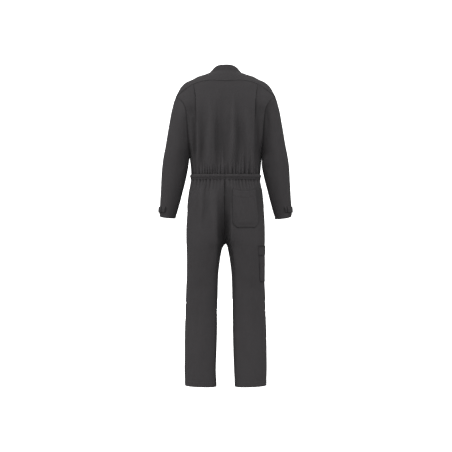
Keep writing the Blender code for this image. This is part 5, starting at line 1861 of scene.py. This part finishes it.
# Dark lacquered metal with fine turning marks, its lacquer worn thin in spots.
stud_metal = grained("dark_press_stud", METAL, (0.7, 1.5), (0.35, 0.7), 900.0, 4.0, 0.05, (0.32, 0.55),
                     Metallic=0.9, Coat_Weight=0.3, Coat_Roughness=0.25)
studs = grown(new_object("press_studs", stud_data), setting_tree(), Cap=cap_pattern, Metal=stud_metal)
bpy.data.objects.remove(cap_pattern)
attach(studs, "root")
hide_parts(*[f"press_stud_{number + 1}" for number in range(len(STUD_HEIGHTS))])


# ============ floor, light and camera
# A pale floor that runs up into a backdrop, and soft light from all round: a broad sky that is
# brightest behind the garment and above it, a lamp on either side of it and one in front.

FLOOR_Z = -1.62
CAMERA_PLACE = (-0.0018, 7.0, -0.7693)
VIEW_WIDTH = 2.25         # metres seen across at the garment
SENSOR = 36.0
SKY_BRIGHT = 1.45         # the sky's strength where it is aimed, falling to nothing at the other edge
SKY_AIM = (0.05, 0.75, 0.66)
SKY_EDGE = (-0.3, 1.0)
PAPER_GLOW = 1.0
SWEEP_BACK = 11.0         # the wall of the sweep stands this far in front of the garment
SWEEP_BEND = 4.4
SWEEP_BEND_STEPS = 12
SWEEP_TOP = 19.8
SWEEP_HALF = 27.0
ROUND_WALL = 25.0         # radius of the pale wall round the studio, which only the camera sees
ROUND_WALL_SIDES = 48


def soft_light(name, place, target, size, power):
    """A rectangular studio lamp that faces its target."""
    lamp = bpy.data.lights.new(name, "AREA")
    lamp.shape = "RECTANGLE"
    lamp.size, lamp.size_y = size
    lamp.energy = power
    light = new_object(name, lamp)
    light.location = place
    light.rotation_euler = (Vector(target) - Vector(place)).to_track_quat("-Z", "Y").to_euler()
    light.visible_camera = False


world = bpy.data.worlds.new("studio")
world.use_nodes = True
sky_nodes, sky_links = world.node_tree.nodes, world.node_tree.links
sky_nodes["Background"].inputs["Color"].default_value = (1.0, 1.0, 1.0, 1)
toward = sky_nodes.new("ShaderNodeTexCoord")
turn = sky_nodes.new("ShaderNodeVectorMath")
turn.operation = "DOT_PRODUCT"
turn.inputs[1].default_value = SKY_AIM
brightness = new_node(sky_nodes, "ShaderNodeMapRange", From_Min=SKY_EDGE[0], From_Max=SKY_EDGE[1],
                      To_Min=0.0, To_Max=SKY_BRIGHT)
brightness.interpolation_type = "SMOOTHSTEP"
sky_links.new(toward.outputs["Generated"], turn.inputs[0])
sky_links.new(turn.outputs["Value"], brightness.inputs["Value"])
sky_links.new(brightness.outputs["Result"], sky_nodes["Background"].inputs["Strength"])
bpy.context.scene.world = world
soft_light("lamp_left", (6.0, 1.5, -0.2), (0, 0, -0.8), (1.0, 2.0), 100)
soft_light("lamp_right", (-6.0, 1.5, -0.2), (0, 0, -0.8), (1.0, 2.0), 75)
soft_light("front_lamp", (0.0, -7.5, -0.75), (0, 0, -0.75), (1.0, 1.2), 180)

# Matt white paper that glows a little, so that it stays even and pale.
paper = new_finish("white_paper", Base_Color=(0.94, 0.94, 0.94, 1), Roughness=0.95,
                   Emission_Color=(1, 1, 1, 1), Emission_Strength=PAPER_GLOW)[0]


def stage_piece(name, rows):
    """A smooth pale surface of the studio through rows of points."""
    data = bmesh.new()
    lines = [[data.verts.new(point) for point in row] for row in rows]
    for line, following in zip(lines, lines[1:]):
        for i in range(len(line) - 1):
            data.faces.new((line[i], line[i + 1], following[i + 1], following[i]))
    data.normal_update()
    mesh = bpy.data.meshes.new(name)
    data.to_mesh(mesh)
    data.free()
    mesh.materials.append(paper)
    surface = new_object(name, mesh)
    surface.visible_diffuse = False
    surface.visible_glossy = False
    return surface


bend_turns = np.linspace(0, math.pi / 2, SWEEP_BEND_STEPS + 1)[1:]
bend_start = SWEEP_BEND - SWEEP_BACK
profile = [(SWEEP_HALF, 0.0), (bend_start, 0.0)]
profile += [(bend_start - SWEEP_BEND * math.sin(t), SWEEP_BEND * (1 - math.cos(t))) for t in bend_turns]
profile += [(-SWEEP_BACK, SWEEP_TOP)]
stage_piece("floor", [[(x, y, FLOOR_Z + z) for y, z in profile] for x in (-SWEEP_HALF, SWEEP_HALF)])
wall_turns = np.linspace(0, 2 * math.pi, ROUND_WALL_SIDES + 1)
wall = stage_piece("round_wall", [[(ROUND_WALL * math.cos(t), ROUND_WALL * math.sin(t), FLOOR_Z + z)
                                   for t in wall_turns] for z in (0.0, SWEEP_TOP)])
wall.visible_shadow = False

camera_data = bpy.data.cameras.new("camera")
camera_data.sensor_width = SENSOR
camera_data.lens = SENSOR * CAMERA_PLACE[1] / VIEW_WIDTH
camera = new_object("camera", camera_data)
camera.location = CAMERA_PLACE
camera.rotation_euler = (math.radians(90), 0, math.radians(180))
bpy.context.scene.camera = camera
bpy.context.scene.view_settings.view_transform = "Standard"
